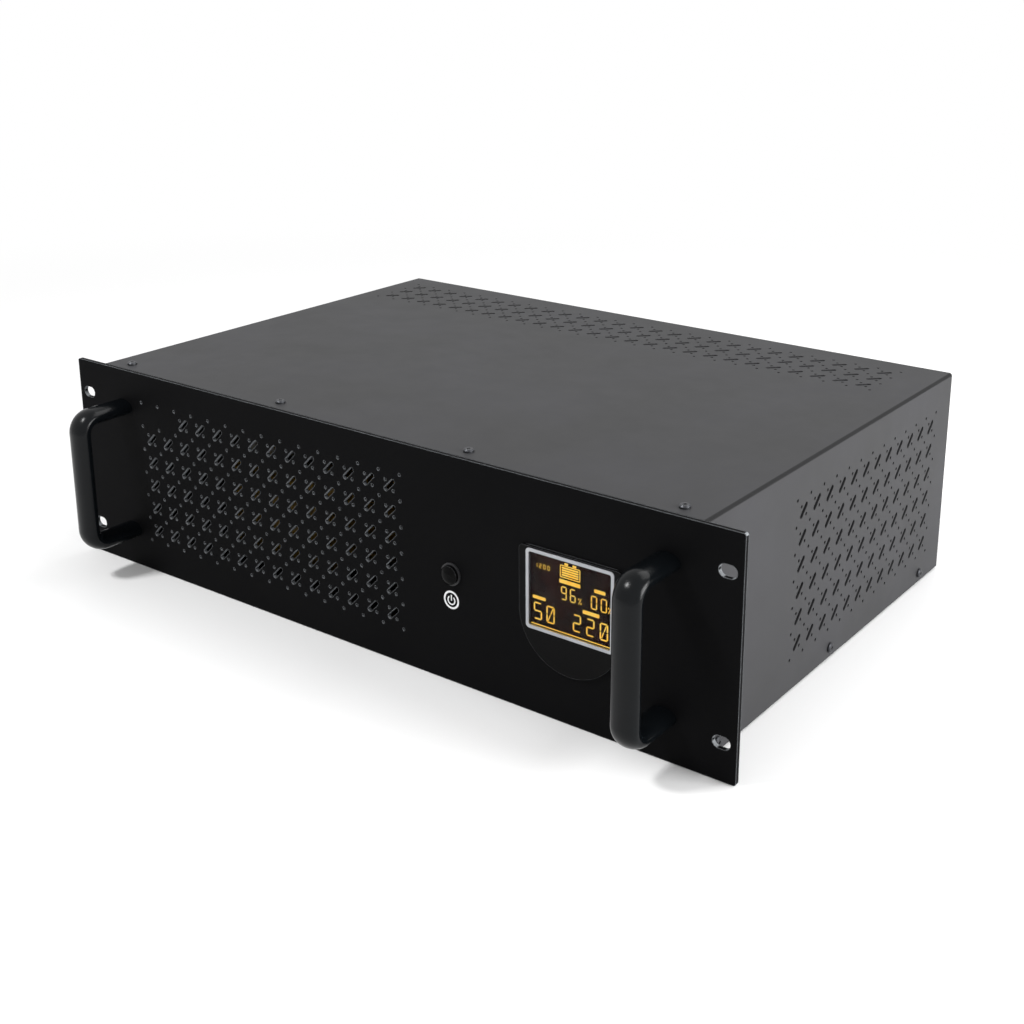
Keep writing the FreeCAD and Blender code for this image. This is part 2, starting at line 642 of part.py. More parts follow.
# ---------------------------------------------------------------- display
def display_bezel():
    """A moulding with a flat top and a half-round bottom, its ring and two posts passing the panel."""
    x0, x1 = display_x - display_width / 2, display_x + display_width / 2
    y = bezel_front_y
    c = bezel_corner
    half_turn = math.sqrt(0.5)
    edges = [Part.makeLine(V(x0, y, display_arc_z), V(x0, y, display_top_z - c)),
             Part.Arc(V(x0, y, display_top_z - c),
                      V(x0 + c - c * half_turn, y, display_top_z - c + c * half_turn),
                      V(x0 + c, y, display_top_z)).toShape(),
             Part.makeLine(V(x0 + c, y, display_top_z), V(x1 - c, y, display_top_z)),
             Part.Arc(V(x1 - c, y, display_top_z),
                      V(x1 - c + c * half_turn, y, display_top_z - c + c * half_turn),
                      V(x1, y, display_top_z - c)).toShape(),
             Part.makeLine(V(x1, y, display_top_z - c), V(x1, y, display_arc_z)),
             Part.Arc(V(x1, y, display_arc_z), V(display_x, y, display_arc_z - display_arc_radius),
                      V(x0, y, display_arc_z)).toShape()]
    plate = Part.Face(Part.Wire(edges)).extrude(V(0, bezel_thickness, 0))
    ring = rounded_block(display_x, ring_width, (panel_front_y, display_ring_back_y), frame_centre_z,
                         ring_height, frame_corner)
    ring_top = frame_centre_z + ring_height / 2
    hook = block((display_x - display_hook_width / 2, display_x + display_hook_width / 2),
                 (seat_gap, seat_gap + display_hook_depth),
                 (ring_top - seat_gap, ring_top + display_hook_height))
    posts = [rod(display_post_radius, V(x, panel_front_y, display_post_z),
                 V(x, display_ring_back_y, display_post_z)) for x in display_post_x]
    opening = rounded_block(display_x, opening_width,
                            (bezel_front_y - overrun, display_ring_back_y + overrun),
                            frame_centre_z, opening_height, frame_corner)
    pilots = [rod(m3_radius + seat_gap, V(x, panel_front_y, display_post_z),
                  V(x, display_ring_back_y, display_post_z)) for x in display_post_x]
    return fuse([plate, ring, hook] + posts).cut(Part.makeCompound([opening] + pilots))


def display_frame():
    """The thin bright frame round the display's window."""
    depth = (frame_front_y, frame_front_y + frame_depth)
    outer = rounded_block(display_x, frame_width, depth, frame_centre_z, frame_height, frame_corner)
    inner = rounded_block(display_x, frame_width - 2 * frame_border, depth, frame_centre_z,
                          frame_height - 2 * frame_border, frame_corner / 2)
    return outer.cut(inner)


def display_window():
    gap = 2 * seat_gap
    return rounded_block(display_x, frame_width - 2 * frame_border - gap,
                         (window_front_y, window_front_y + window_thickness), frame_centre_z,
                         frame_height - 2 * frame_border - gap, frame_corner / 2)


def lcd_module():
    return centred_block(display_x, frame_width - 2 * seat_gap - frame_corner,
                         (lcd_front_y, display_ring_back_y), frame_centre_z,
                         frame_height - 2 * seat_gap - frame_corner)


def display_board():
    """The board behind the display, held by two screws into the bezel's posts."""
    top = frame_centre_z + ring_height / 2
    y = (display_ring_back_y + seat_gap, display_ring_back_y + seat_gap + board_thickness)
    board = block((display_x - display_pcb_width / 2, display_x + display_pcb_width / 2), y,
                  (top - display_pcb_height, top - seat_gap))
    holes = [rod(m3_radius + screw_clearance, V(x, 0, display_post_z), V(x, y[1] + overrun, display_post_z))
             for x in display_post_x]
    socket = centred_block(display_x, ribbon_width + 2 * ribbon_socket_wall,
                           (y[1], y[1] + ribbon_socket_depth), frame_centre_z, ribbon_socket_height)
    return fuse([board, socket]).cut(Part.makeCompound(holes))


def display_screws():
    y = display_ring_back_y + 2 * seat_gap + board_thickness
    return group([cross_screw(m3_radius, m3_head_radius, m3_head_height, display_screw_length,
                              V(x, y, display_post_z), V(0, -1, 0)) for x in display_post_x])


# ---------------------------------------------------------------- power button
def power_button():
    """The domed cap and its stem; it slides into the barrel."""
    front = button_ring_front_y - button_proud
    sphere_radius = (button_cap_radius ** 2 + button_dome_height ** 2) / (2 * button_dome_height)
    ball = Part.makeSphere(sphere_radius, V(button_x, front - button_dome_height + sphere_radius, button_z))
    dome = ball.common(rod(button_cap_radius, V(button_x, front - button_dome_height, button_z),
                           V(button_x, front, button_z)))
    cap_back = button_barrel_length - button_travel - button_cap_end_gap
    barrel = rod(button_cap_radius, V(button_x, front, button_z), V(button_x, cap_back, button_z))
    stem = rod(button_stem_radius, V(button_x, cap_back, button_z),
               V(button_x, button_body_front_y + button_travel, button_z))
    return fuse([dome, barrel, stem])


def power_switch():
    """The switch body: a flanged barrel through the panel and the contact block behind it."""
    ring = rod(button_ring_radius, V(button_x, button_ring_front_y, button_z),
               V(button_x, panel_front_y, button_z))
    barrel = rod(button_barrel_outer, V(button_x, panel_front_y, button_z),
                 V(button_x, button_body_front_y, button_z))
    block_y = (button_body_front_y, button_body_front_y + button_body_length)
    body = centred_block(button_x, button_body_size, block_y, button_z, button_body_size)
    tabs = [centred_block(button_x + side * switch_tab_spacing / 2, switch_tab_thickness,
                          (block_y[1], block_y[1] + switch_tab_length), button_z, switch_tab_width)
            for side in (-1, 1)]
    bore = rod(button_barrel_inner, V(button_x, button_ring_front_y, button_z),
               V(button_x, button_body_front_y, button_z))
    stem_bore = rod(button_stem_radius + button_running_clearance, V(button_x, block_y[0], button_z),
                    V(button_x, block_y[0] + 2 * button_travel + button_stem_end_gap, button_z))
    return fuse([ring, barrel, body] + tabs).cut(Part.makeCompound([bore, stem_bore]))


def power_switch_nut():
    return hex_nut(button_nut_flats, button_nut_thickness, button_barrel_outer + seat_gap,
                   V(button_x, seat_gap, button_z), Y_AXIS)


# ---------------------------------------------------------------- transformer
def ring_solid(outer, inner, z, height, corner):
    """A ring about the transformer's axis, its four edges rounded by a corner radius."""
    profile = rounded_outline((outer + inner) / 2, outer - inner, z + height / 2, height, corner, 0)
    ring = Part.Face(profile).revolve(V(0, 0, 0), Z_AXIS, 360)
    ring.translate(V(transformer_x, transformer_y, 0))
    return Part.makeSolid(ring) if ring.ShapeType != "Solid" else ring


def transformer_core():
    z = winding_z + (transformer_height - core_height) / 2
    core = tube(core_radius, core_bore_radius, V(transformer_x, transformer_y, z),
                V(transformer_x, transformer_y, z + core_height))
    return core


def transformer_winding():
    """The wrapped winding, which closes round the core."""
    ring = ring_solid(transformer_radius, transformer_bore_radius, winding_z, transformer_height,
                      transformer_corner)
    z = winding_z + (transformer_height - core_height) / 2
    room = tube(core_radius + seat_gap, core_bore_radius - seat_gap,
                V(transformer_x, transformer_y, z - seat_gap),
                V(transformer_x, transformer_y, z + core_height + seat_gap))
    return ring.cut(room)


def transformer_pads():
    bore = transformer_stud_radius + screw_clearance
    lower = tube(transformer_radius, bore, V(transformer_x, transformer_y, floor_z + seat_gap),
                 V(transformer_x, transformer_y, pad_top_z))
    upper = tube(clamp_plate_radius, transformer_bore_radius, V(transformer_x, transformer_y, upper_pad_z),
                 V(transformer_x, transformer_y, upper_pad_z + rubber_pad_thickness))
    return group([lower, upper])


def transformer_clamp():
    """A dished steel plate: its middle drops into the transformer's bore."""
    centre = V(transformer_x, transformer_y, clamp_z)
    t = clamp_plate_thickness
    plate = rod(clamp_plate_radius, centre, centre.add(V(0, 0, t)))
    cup_low = centre.sub(V(0, 0, clamp_cup_depth))
    cup = rod(clamp_cup_radius + t, cup_low, centre.add(V(0, 0, t)))
    hollow = rod(clamp_cup_radius, cup_low.add(V(0, 0, t)), centre.add(V(0, 0, t + overrun)))
    bore = rod(transformer_stud_radius + screw_clearance, cup_low.sub(V(0, 0, overrun)),
               centre.add(V(0, 0, t)))
    return fuse([plate, cup]).cut(hollow).cut(bore)


def transformer_nut():
    z = clamp_z - clamp_cup_depth + clamp_plate_thickness + seat_gap
    return hex_nut(transformer_nut_flats, transformer_nut_height, transformer_stud_radius + seat_gap,
                   V(transformer_x, transformer_y, z), Z_AXIS)


# ---------------------------------------------------------------- batteries
def battery(x):
    """One sealed 12-volt block with its stepped lid."""
    half = battery_width / 2
    deep = (battery_front_y, battery_front_y + battery_length)
    case_top = battery_top_z - battery_lid_height
    step = battery_lid_step
    case = block((x - half + step, x + half - step), (deep[0] + step, deep[1] - step), (battery_z, case_top))
    lid = block((x - half, x + half), deep, (case_top, battery_top_z))
    return fuse([case, lid])


def terminal_places():
    """The foot of each blade terminal, two on each battery."""
    places = []
    for x in battery_x:
        for side in (-1, 1):
            places.append(V(x + side * (battery_width / 2 - terminal_inset_x),
                            battery_front_y + terminal_inset_y, battery_top_z))
    return places


def battery_terminals():
    return group([block((p.x - terminal_width / 2, p.x + terminal_width / 2),
                        (p.y - terminal_thickness / 2, p.y + terminal_thickness / 2),
                        (p.z, p.z + terminal_height)) for p in terminal_places()])


def battery_pad():
    half = battery_width + battery_gap / 2
    return block((battery_pair_x - half, battery_pair_x + half),
                 (battery_front_y, battery_front_y + battery_length),
                 (floor_z + seat_gap, floor_z + seat_gap + battery_pad_thickness))


def battery_strap():
    """A folded strap over both batteries, its feet on the floor's studs."""
    half = battery_width + battery_gap / 2 + seat_gap
    deep = (battery_y - strap_width / 2, battery_y + strap_width / 2)
    foot_z = (floor_z + seat_gap, floor_z + seat_gap + strap_thickness)
    top_z = (battery_top_z + seat_gap, battery_top_z + seat_gap + strap_thickness)
    outer = half + strap_thickness
    pieces = [block((battery_pair_x - outer, battery_pair_x + outer), deep, top_z)]
    for side in (-1, 1):
        leg = sorted((battery_pair_x + side * half, battery_pair_x + side * outer))
        foot = sorted((battery_pair_x + side * half, battery_pair_x + side * (outer + strap_foot)))
        pieces.append(block(leg, deep, (foot_z[0], top_z[1])))
        pieces.append(block(foot, deep, foot_z))
    holes = [rod(m4_radius + screw_clearance, V(x, battery_y, foot_z[0] - overrun),
                 V(x, battery_y, foot_z[1] + overrun)) for x in strap_stud_x()]
    return fuse(pieces).cut(Part.makeCompound(holes))


def battery_strap_nuts():
    z = floor_z + 2 * seat_gap + strap_thickness
    return group([hex_nut(m4_nut_flats, m4_nut_height, m4_radius + seat_gap, V(x, battery_y, z), Z_AXIS)
                  for x in strap_stud_x()])


# ---------------------------------------------------------------- main board
def board_hole_places():
    """Screw holes at the board's corners and behind the heatsinks."""
    x = board_width / 2 - board_hole_inset
    y = board_length / 2 - board_hole_inset
    return [V(board_x + side * x, hole_y, 0) for side in (-1, 1)
            for hole_y in (board_y - y, board_middle_hole_y, board_y + y)]


def main_board():
    board = block((board_x - board_width / 2, board_x + board_width / 2),
                  (board_y - board_length / 2, board_y + board_length / 2), (board_z, board_top_z))
    holes = [rod(m3_radius + screw_clearance, V(p.x, p.y, board_z - overrun),
                 V(p.x, p.y, board_top_z + overrun))
             for p in board_hole_places()]
    return board.cut(Part.makeCompound(holes))


def board_standoffs():
    return group([tube(standoff_radius, m3_radius + seat_gap, V(p.x, p.y, floor_z),
                       V(p.x, p.y, floor_z + standoff_height)) for p in board_hole_places()])


def board_screws():
    return group([cross_screw(m3_radius, m3_head_radius, m3_head_height, cover_screw_length,
                              V(p.x, p.y, board_top_z + seat_gap), V(0, 0, -1)) for p in board_hole_places()])


def heatsinks():
    """Two finned extrusions, back plates facing each other across the transistors."""
    solids = []
    deep = (heatsink_y - heatsink_length / 2, heatsink_y + heatsink_length / 2)
    tall = (part_z, part_z + heatsink_height)
    for side in (-1, 1):
        centre = board_x + side * heatsink_x_offset
        inner = centre - side * heatsink_width / 2
        outer = centre + side * heatsink_width / 2
        pieces = [block(sorted((inner, inner + side * heatsink_base)), deep, tall)]
        rise = (heatsink_height - heatsink_fin) / (heatsink_fins - 1)
        for k in range(heatsink_fins):
            z = part_z + k * rise
            pieces.append(block(sorted((inner, outer)), deep, (z, z + heatsink_fin)))
        solids.append(fuse(pieces))
    return group(solids)


def power_transistors():
    """A row of flat packages against each heatsink, each on three legs."""
    solids = []
    for side in (-1, 1):
        face = board_x + side * (heatsink_x_offset - heatsink_width / 2 - seat_gap)
        for k in range(mosfet_count):
            y = heatsink_y + (k - (mosfet_count - 1) / 2) * mosfet_pitch
            low = part_z + mosfet_lift
            across = sorted((face, face - side * mosfet_thickness))
            pieces = [block(across, (y - mosfet_width / 2, y + mosfet_width / 2), (low, low + mosfet_height))]
            middle = sum(across) / 2
            for leg_y in (-mosfet_leg_pitch, 0, mosfet_leg_pitch):
                pieces.append(block((middle - mosfet_leg / 2, middle + mosfet_leg / 2),
                                    (y + leg_y - mosfet_leg / 2, y + leg_y + mosfet_leg / 2), (part_z, low)))
            solids.append(fuse(pieces))
    return group(solids)


def capacitors():
    return group([rod(capacitor_radius, V(board_x + k * capacitor_pitch_x, y, part_z),
                      V(board_x + k * capacitor_pitch_x, y, part_z + capacitor_height))
                  for k in (-1, 0, 1) for y in (capacitor_first_y, capacitor_first_y + capacitor_pitch_y)])


def relays():
    deep = (relay_y - relay_depth / 2, relay_y + relay_depth / 2)
    return group([centred_block(board_x + k * relay_pitch, relay_width, deep,
                                part_z + relay_height / 2, relay_height) for k in (-1, 0, 1)])


def choke():
    """A wound ring lying on the board."""
    centre = V(board_x + choke_x_offset, choke_y, part_z)
    return tube(choke_radius, choke_bore_radius, centre, centre.add(V(0, 0, choke_height)))


def control_board():
    """A small board standing on the main board, with its processor and pin strip."""
    y = (control_board_y, control_board_y + board_thickness)
    half = control_board_width / 2
    board = block((board_x - half, board_x + half), y, (part_z, part_z + control_board_height))
    chip = centred_block(board_x, chip_size, (y[0] - chip_thickness, y[0]), part_z + chip_rise, chip_size)
    strip = centred_block(board_x, pin_strip_width, (y[0] - pin_strip_depth, y[0]),
                          part_z + pin_strip_height / 2, pin_strip_height)
    return fuse([board, chip, strip])


def terminal_blocks():
    """Screw terminal blocks at the front of the main board, with their wire entries."""
    solids = []
    places = zip(terminal_block_sizes, terminal_block_x_offsets, terminal_block_y)
    for (width, depth, height), dx, y in places:
        x, top_z = board_x + dx, part_z + height
        body = block((x - width / 2, x + width / 2), (y - depth / 2, y + depth / 2), (part_z, top_z))
        wells = [rod(terminal_well_radius, V(x + k * width / 4, y, top_z - terminal_well_depth),
                     V(x + k * width / 4, y, top_z)) for k in (-1, 0, 1)]
        solids.append(body.cut(Part.makeCompound(wells)))
    return group(solids)


# ---------------------------------------------------------------- fan
def fan_screw_places():
    half = fan_screw_spacing / 2
    return [V(fan_x + sx * half, 0, fan_z + sz * half) for sx in (-1, 1) for sz in (-1, 1)]


def fan_frame():
    """The square housing with four struts that carry the hub's base and axle."""
    back = rear_inside_y - seat_gap
    front = back - fan_depth
    axle_end_y = front + fan_strut_depth + fan_rotor_depth - fan_hub_cap - fan_axle_end_gap
    shell = rounded_block(fan_x, fan_size, (front, back), fan_z, fan_size, fan_corner)
    shell = shell.cut(rod(fan_bore_radius, V(fan_x, front, fan_z), V(fan_x, back, fan_z)))
    pieces = [shell, rod(fan_hub_radius, V(fan_x, front, fan_z), V(fan_x, front + fan_strut_depth, fan_z)),
              rod(fan_axle_radius, V(fan_x, front, fan_z),
                  V(fan_x, axle_end_y, fan_z))]
    arm = fan_bore_radius + fan_strut_bite
    for size in ((2 * arm, fan_strut_width), (fan_strut_width, 2 * arm)):
        pieces.append(centred_block(fan_x, size[0], (front, front + fan_strut_depth), fan_z, size[1]))
    holes = [rod(m4_radius + seat_gap, V(p.x, front, p.z), V(p.x, back, p.z)) for p in fan_screw_places()]
    return fuse(pieces).cut(Part.makeCompound(holes))


def fan_rotor():
    """The hub with its blades, each blade turned about its own radius."""
    front = rear_inside_y - seat_gap - fan_depth + fan_strut_depth + fit_gap
    back = front + fan_rotor_depth
    hub_radius = fan_hub_radius - fan_hub_step
    hub = rod(hub_radius, V(fan_x, front, fan_z), V(fan_x, back, fan_z))
    bore = rod(fan_axle_radius + fan_axle_clearance, V(fan_x, front, fan_z),
               V(fan_x, back - fan_hub_cap, fan_z))
    chord = (fan_rotor_depth - 2 * fan_blade_end_gap) / math.cos(math.radians(fan_blade_angle))
    blades = []
    for k in range(fan_blades):
        blade = Part.makeBox(fan_blade_thickness, chord, fan_blade_radius + overrun - fan_hub_radius / 2,
                             V(-fan_blade_thickness / 2, -chord / 2, fan_hub_radius / 2))
        blade.rotate(V(0, 0, 0), Z_AXIS, fan_blade_angle)
        blade.rotate(V(0, 0, 0), Y_AXIS, 360 / fan_blades * k)
        blade.translate(V(fan_x, (front + back) / 2, fan_z))
        blades.append(blade)
    sweep = tube(fan_blade_radius, hub_radius - overrun, V(fan_x, front, fan_z), V(fan_x, back, fan_z))
    trimmed = [blade.common(sweep) for blade in blades]
    return fuse([hub] + trimmed).cut(bore)


def fan_guard():
    """Wire rings welded on crossing wires whose flattened ends are eyes at the fan's screws."""
    spoke_y = rear_face_y + seat_gap + guard_wire_radius
    ring_y = spoke_y + guard_ring_offset
    pieces = [Part.makeTorus(radius, guard_wire_radius, V(fan_x, ring_y, fan_z), Y_AXIS)
              for radius in guard_ring_radii]
    eyes, bores = [], []
    for p in fan_screw_places():
        outward = V(p.x - fan_x, 0, p.z - fan_z)
        reach = outward.Length
        outward.normalize()
        centre = V(fan_x, spoke_y, fan_z)
        eyes.append(rod(guard_wire_radius, centre.add(outward * guard_spoke_start),
                        centre.add(outward * (reach - guard_eye_radius + guard_wire_radius))))
        front, back = V(p.x, rear_face_y + seat_gap, p.z), V(p.x, spoke_y + guard_wire_radius, p.z)
        eyes.append(rod(guard_eye_radius, front, back))
        bores.append(rod(m4_radius + screw_clearance, front.sub(Y_AXIS), back.add(Y_AXIS)))
    guard = pieces[0].multiFuse(pieces[1:] + eyes)
    return guard.cut(Part.makeCompound(bores))


def fan_screws():
    seat_y = rear_face_y + 2 * seat_gap + 2 * guard_wire_radius
    return group([cross_screw(m4_radius, m4_head_radius, m4_head_height, fan_screw_length,
                              V(p.x, seat_y, p.z), V(0, -1, 0)) for p in fan_screw_places()])


# ---------------------------------------------------------------- mains inlet
def inlet_section(width, height, chamfer):
    """The inlet's outline with its two lower corners cut off."""
    w, h = width / 2, height / 2
    points = [(-w, h), (w, h), (w, -h + chamfer), (w - chamfer, -h), (-w + chamfer, -h), (-w, -h + chamfer),
              (-w, h)]
    return Part.Face(Part.makePolygon([V(inlet_x + px, 0, inlet_z + pz) for px, pz in points]))


def inlet_pin_places():
    half, rise = inlet_pin_spacing / 2, inlet_earth_rise / 2
    return [V(inlet_x - half, 0, inlet_z - rise), V(inlet_x + half, 0, inlet_z - rise),
            V(inlet_x, 0, inlet_z + rise)]


def mains_inlet():
    """The flanged appliance inlet with its cavity and the slots that hold the pins."""
    flange_y = rear_face_y + seat_gap
    mouth_y = flange_y + inlet_flange_thickness
    back_y = flange_y - inlet_body_depth
    flange = rounded_block(inlet_x, inlet_flange_width, (flange_y, mouth_y), inlet_z, inlet_flange_height,
                           inlet_flange_corner)
    body = centred_block(inlet_x, inlet_body_width, (back_y, flange_y), inlet_z, inlet_body_height)
    section = inlet_section(inlet_cavity_width, inlet_cavity_height, inlet_chamfer)
    cavity = section.extrude(V(0, inlet_cavity_depth, 0))
    cavity.translate(V(0, mouth_y - inlet_cavity_depth, 0))
    cuts = [cavity]
    for x in (-inlet_screw_spacing / 2, inlet_screw_spacing / 2):
        cuts.append(rod(m3_radius + screw_clearance, V(inlet_x + x, flange_y - overrun, inlet_z),
                        V(inlet_x + x, mouth_y + overrun, inlet_z)))
    for p in inlet_pin_places():
        cuts.append(centred_block(p.x, inlet_pin_thickness + seat_gap, (back_y - overrun, mouth_y), p.z,
                                  inlet_pin_width + seat_gap))
    return fuse([flange, body]).cut(Part.makeCompound(cuts))


def inlet_pins():
    floor_y = rear_face_y + seat_gap + inlet_flange_thickness - inlet_cavity_depth
    tail_y = rear_face_y + seat_gap - inlet_body_depth - inlet_tab_length
    deep = (tail_y, floor_y + inlet_pin_reach)
    return group([centred_block(p.x, inlet_pin_thickness, deep, p.z, inlet_pin_width)
                  for p in inlet_pin_places()])


def inlet_screws():
    seat_y = rear_face_y + 2 * seat_gap + inlet_flange_thickness
    return group([cross_screw(m3_radius, m3_head_radius, m3_head_height, cover_screw_length,
                              V(inlet_x + side * inlet_screw_spacing / 2, seat_y, inlet_z), V(0, -1, 0))
                  for side in (-1, 1)])


# ---------------------------------------------------------------- circuit breaker
def breaker_body():
    """The breaker: a threaded neck through the wall and the trip block behind it."""
    flange_y = rear_face_y + seat_gap
    outer_y = flange_y + breaker_flange_thickness
    neck_y = rear_inside_y - seat_gap - breaker_nut_thickness - seat_gap
    flange = rod(breaker_flange_radius, V(breaker_x, flange_y, breaker_z), V(breaker_x, outer_y, breaker_z))
    neck = rod(breaker_barrel_radius, V(breaker_x, neck_y, breaker_z), V(breaker_x, flange_y, breaker_z))
    back_y = neck_y - breaker_body_depth
    body = centred_block(breaker_x, breaker_body_width, (back_y, neck_y), breaker_z, breaker_body_height)
    tabs = [centred_block(breaker_x, breaker_tab_width, (back_y - breaker_tab_length, back_y),
                          breaker_z + side * breaker_tab_spacing / 2, breaker_tab_thickness)
            for side in (-1, 1)]
    bore = rod(breaker_button_radius + breaker_button_clearance,
               V(breaker_x, neck_y - breaker_bore_depth, breaker_z), V(breaker_x, outer_y, breaker_z))
    return fuse([flange, neck, body] + tabs).cut(bore)


def breaker_nut():
    return hex_nut(breaker_nut_flats, breaker_nut_thickness, breaker_barrel_radius + seat_gap,
                   V(breaker_x, rear_inside_y - seat_gap - breaker_nut_thickness, breaker_z), Y_AXIS)


def breaker_button():
    outer_y = rear_face_y + seat_gap + breaker_flange_thickness
    neck_y = rear_inside_y - 2 * seat_gap - breaker_nut_thickness
    return rod(breaker_button_radius, V(breaker_x, neck_y - breaker_bore_depth + fit_gap, breaker_z),
               V(breaker_x, outer_y + breaker_button_proud, breaker_z))


# ---------------------------------------------------------------- outlets
def outlet(x):
    """One earthed socket: a square flange, a round well, and pockets for the contact sleeves."""
    flange_y = rear_face_y + seat_gap
    mouth_y = flange_y + outlet_flange_thickness
    well_floor_y = mouth_y - outlet_well_depth
    back_y = flange_y - outlet_body_depth
    flange = rounded_block(x, outlet_flange, (flange_y, mouth_y), outlet_z, outlet_flange,
                           outlet_flange_corner)
    body = rod(outlet_body_radius, V(x, back_y, outlet_z), V(x, flange_y, outlet_z))
    cuts = [rod(outlet_well_radius, V(x, well_floor_y, outlet_z), V(x, mouth_y + overrun, outlet_z))]
    pocket_radius = outlet_pin_radius + outlet_sleeve_wall + 2 * seat_gap
    for side in (-1, 1):
        px = x + side * outlet_pin_spacing / 2
        cuts.append(rod(outlet_pin_radius + outlet_pin_clearance, V(px, back_y, outlet_z),
                        V(px, well_floor_y, outlet_z)))
        cuts.append(rod(pocket_radius, V(px, back_y - overrun, outlet_z),
                        V(px, well_floor_y - outlet_floor, outlet_z)))
        clip_z = outlet_z + side * (outlet_well_radius - outlet_clip_thickness / 2 - fit_gap)
        cuts.append(centred_block(x, outlet_clip_width + 2 * outlet_clip_clearance,
                                  (back_y - overrun, well_floor_y), clip_z,
                                  outlet_clip_thickness + 2 * outlet_clip_clearance))
    return fuse([flange, body]).cut(Part.makeCompound(cuts))


def outlet_contacts():
    """In each outlet, two contact sleeves behind the floor and two earth clips along the well."""
    solids = []
    mouth_y = rear_face_y + seat_gap + outlet_flange_thickness
    well_floor_y = mouth_y - outlet_well_depth
    back_y = rear_face_y + seat_gap - outlet_body_depth
    for x in outlet_x:
        for side in (-1, 1):
            px = x + side * outlet_pin_spacing / 2
            solids.append(tube(outlet_pin_radius + outlet_sleeve_wall, outlet_pin_radius,
                               V(px, back_y - outlet_tail, outlet_z),
                               V(px, well_floor_y - outlet_floor - seat_gap, outlet_z)))
            clip_z = outlet_z + side * (outlet_well_radius - outlet_clip_thickness / 2 - fit_gap)
            solids.append(centred_block(x, outlet_clip_width,
                                        (back_y - outlet_tail, mouth_y - outlet_clip_recess),
                                        clip_z, outlet_clip_thickness))
    return group(solids)


# ---------------------------------------------------------------- port and earth stud
def data_port():
    """A shrouded square data socket with its tongue."""
    flange_y = rear_face_y + seat_gap
    mouth_y = flange_y + port_lip_thickness
    lip = centred_block(port_x, port_width + 2 * port_lip, (flange_y, mouth_y), port_z,
                        port_height + 2 * port_lip)
    body = centred_block(port_x, port_width, (flange_y - port_depth, flange_y), port_z, port_height)
    cavity = centred_block(port_x, port_cavity_width, (mouth_y - port_cavity_depth, mouth_y + overrun),
                           port_z, port_cavity_height)
    tongue = centred_block(port_x, port_tongue_width,
                           (flange_y - port_cavity_depth, flange_y - port_tongue_inset),
                           port_z, port_tongue_height)
    return fuse([fuse([lip, body]).cut(cavity), tongue])


def earth_stud():
    """The earthing bolt through the rear wall, with its washer and nut as separate solids."""
    head_y = rear_inside_y - seat_gap
    head = hexagon(m5_hex_flats, m5_hex_head_height, V(earth_x, head_y - m5_hex_head_height, earth_z), Y_AXIS)
    shank = rod(m5_radius, V(earth_x, head_y, earth_z), V(earth_x, head_y + earth_stud_length, earth_z))
    washer_y = rear_face_y + seat_gap
    washer = tube(earth_washer_radius, m5_radius + screw_clearance, V(earth_x, washer_y, earth_z),
                  V(earth_x, washer_y + earth_washer_thickness, earth_z))
    nut = hex_nut(m5_hex_flats, m5_nut_height, m5_radius + seat_gap,
                  V(earth_x, washer_y + earth_washer_thickness + seat_gap, earth_z), Y_AXIS)
    return group([fuse([head, shank]), washer, nut])


# ---------------------------------------------------------------- leads
def lead(points, radius):
    """A wire along straight runs joined by arcs as large as the runs allow."""
    count = len(points)
    edges = []
    start = points[0]
    for k in range(1, count - 1):
        before, corner, after = points[k - 1], points[k], points[k + 1]
        run_in, run_out = before.sub(corner), after.sub(corner)
        shorter = min(run_in.Length, run_out.Length)
        run_in.normalize()
        run_out.normalize()
        cut = bend_share * shorter
        half_angle = run_in.getAngle(run_out) / 2
        a, b = corner.add(run_in * cut), corner.add(run_out * cut)
        bisector = run_in.add(run_out)
        bisector.normalize()
        centre = corner.add(bisector * (cut / math.cos(half_angle)))
        bend = cut * math.tan(half_angle)
        middle = centre.sub(bisector * bend)
        edges += [Part.makeLine(start, a), Part.Arc(a, middle, b).toShape()]
        start = b
    edges.append(Part.makeLine(start, points[-1]))
    path = Part.Wire(edges)
    direction = points[1].sub(points[0])
    profile = Part.Wire(Part.Circle(points[0], direction, radius).toShape())
    return path.makePipeShell([profile], True, False)


def battery_leads():
    """The link between the batteries and the two leads to the main board's block."""
    first, link_a, link_b, last = [p.add(V(0, 0, terminal_height + seat_gap)) for p in terminal_places()]
    rise, hop = V(0, 0, lead_rise), V(0, 0, lead_drop)
    block_width, _, block_height = terminal_block_sizes[0]
    entry_z = part_z + block_height - terminal_well_depth + lead_end_gap
    entry = [V(board_x + terminal_block_x_offsets[0] + side * block_width / 4, terminal_block_y[0], entry_z)
             for side in (-1, 1)]
    front = battery_front_y - lead_front_gap
    link = lead([link_a, link_a.add(rise), link_b.add(rise), link_b], lead_radius)
    long_lead = lead([first, first.add(rise), V(first.x + 16, front - 6, first.z + 9),
                      V(battery_pair_x + battery_width + 4, front - 6, first.z - 6),
                      V(entry[0].x - 12, front - 8, entry[0].z + 40), entry[0].add(hop), entry[0]],
                     thin_lead_radius)
    short_lead = lead([last, last.add(rise), V(last.x + 16, front, last.z + 9),
                       V(entry[1].x - 14, front, entry[1].z + 42), entry[1].add(hop), entry[1]],
                      thin_lead_radius)
    return group([link, long_lead, short_lead])


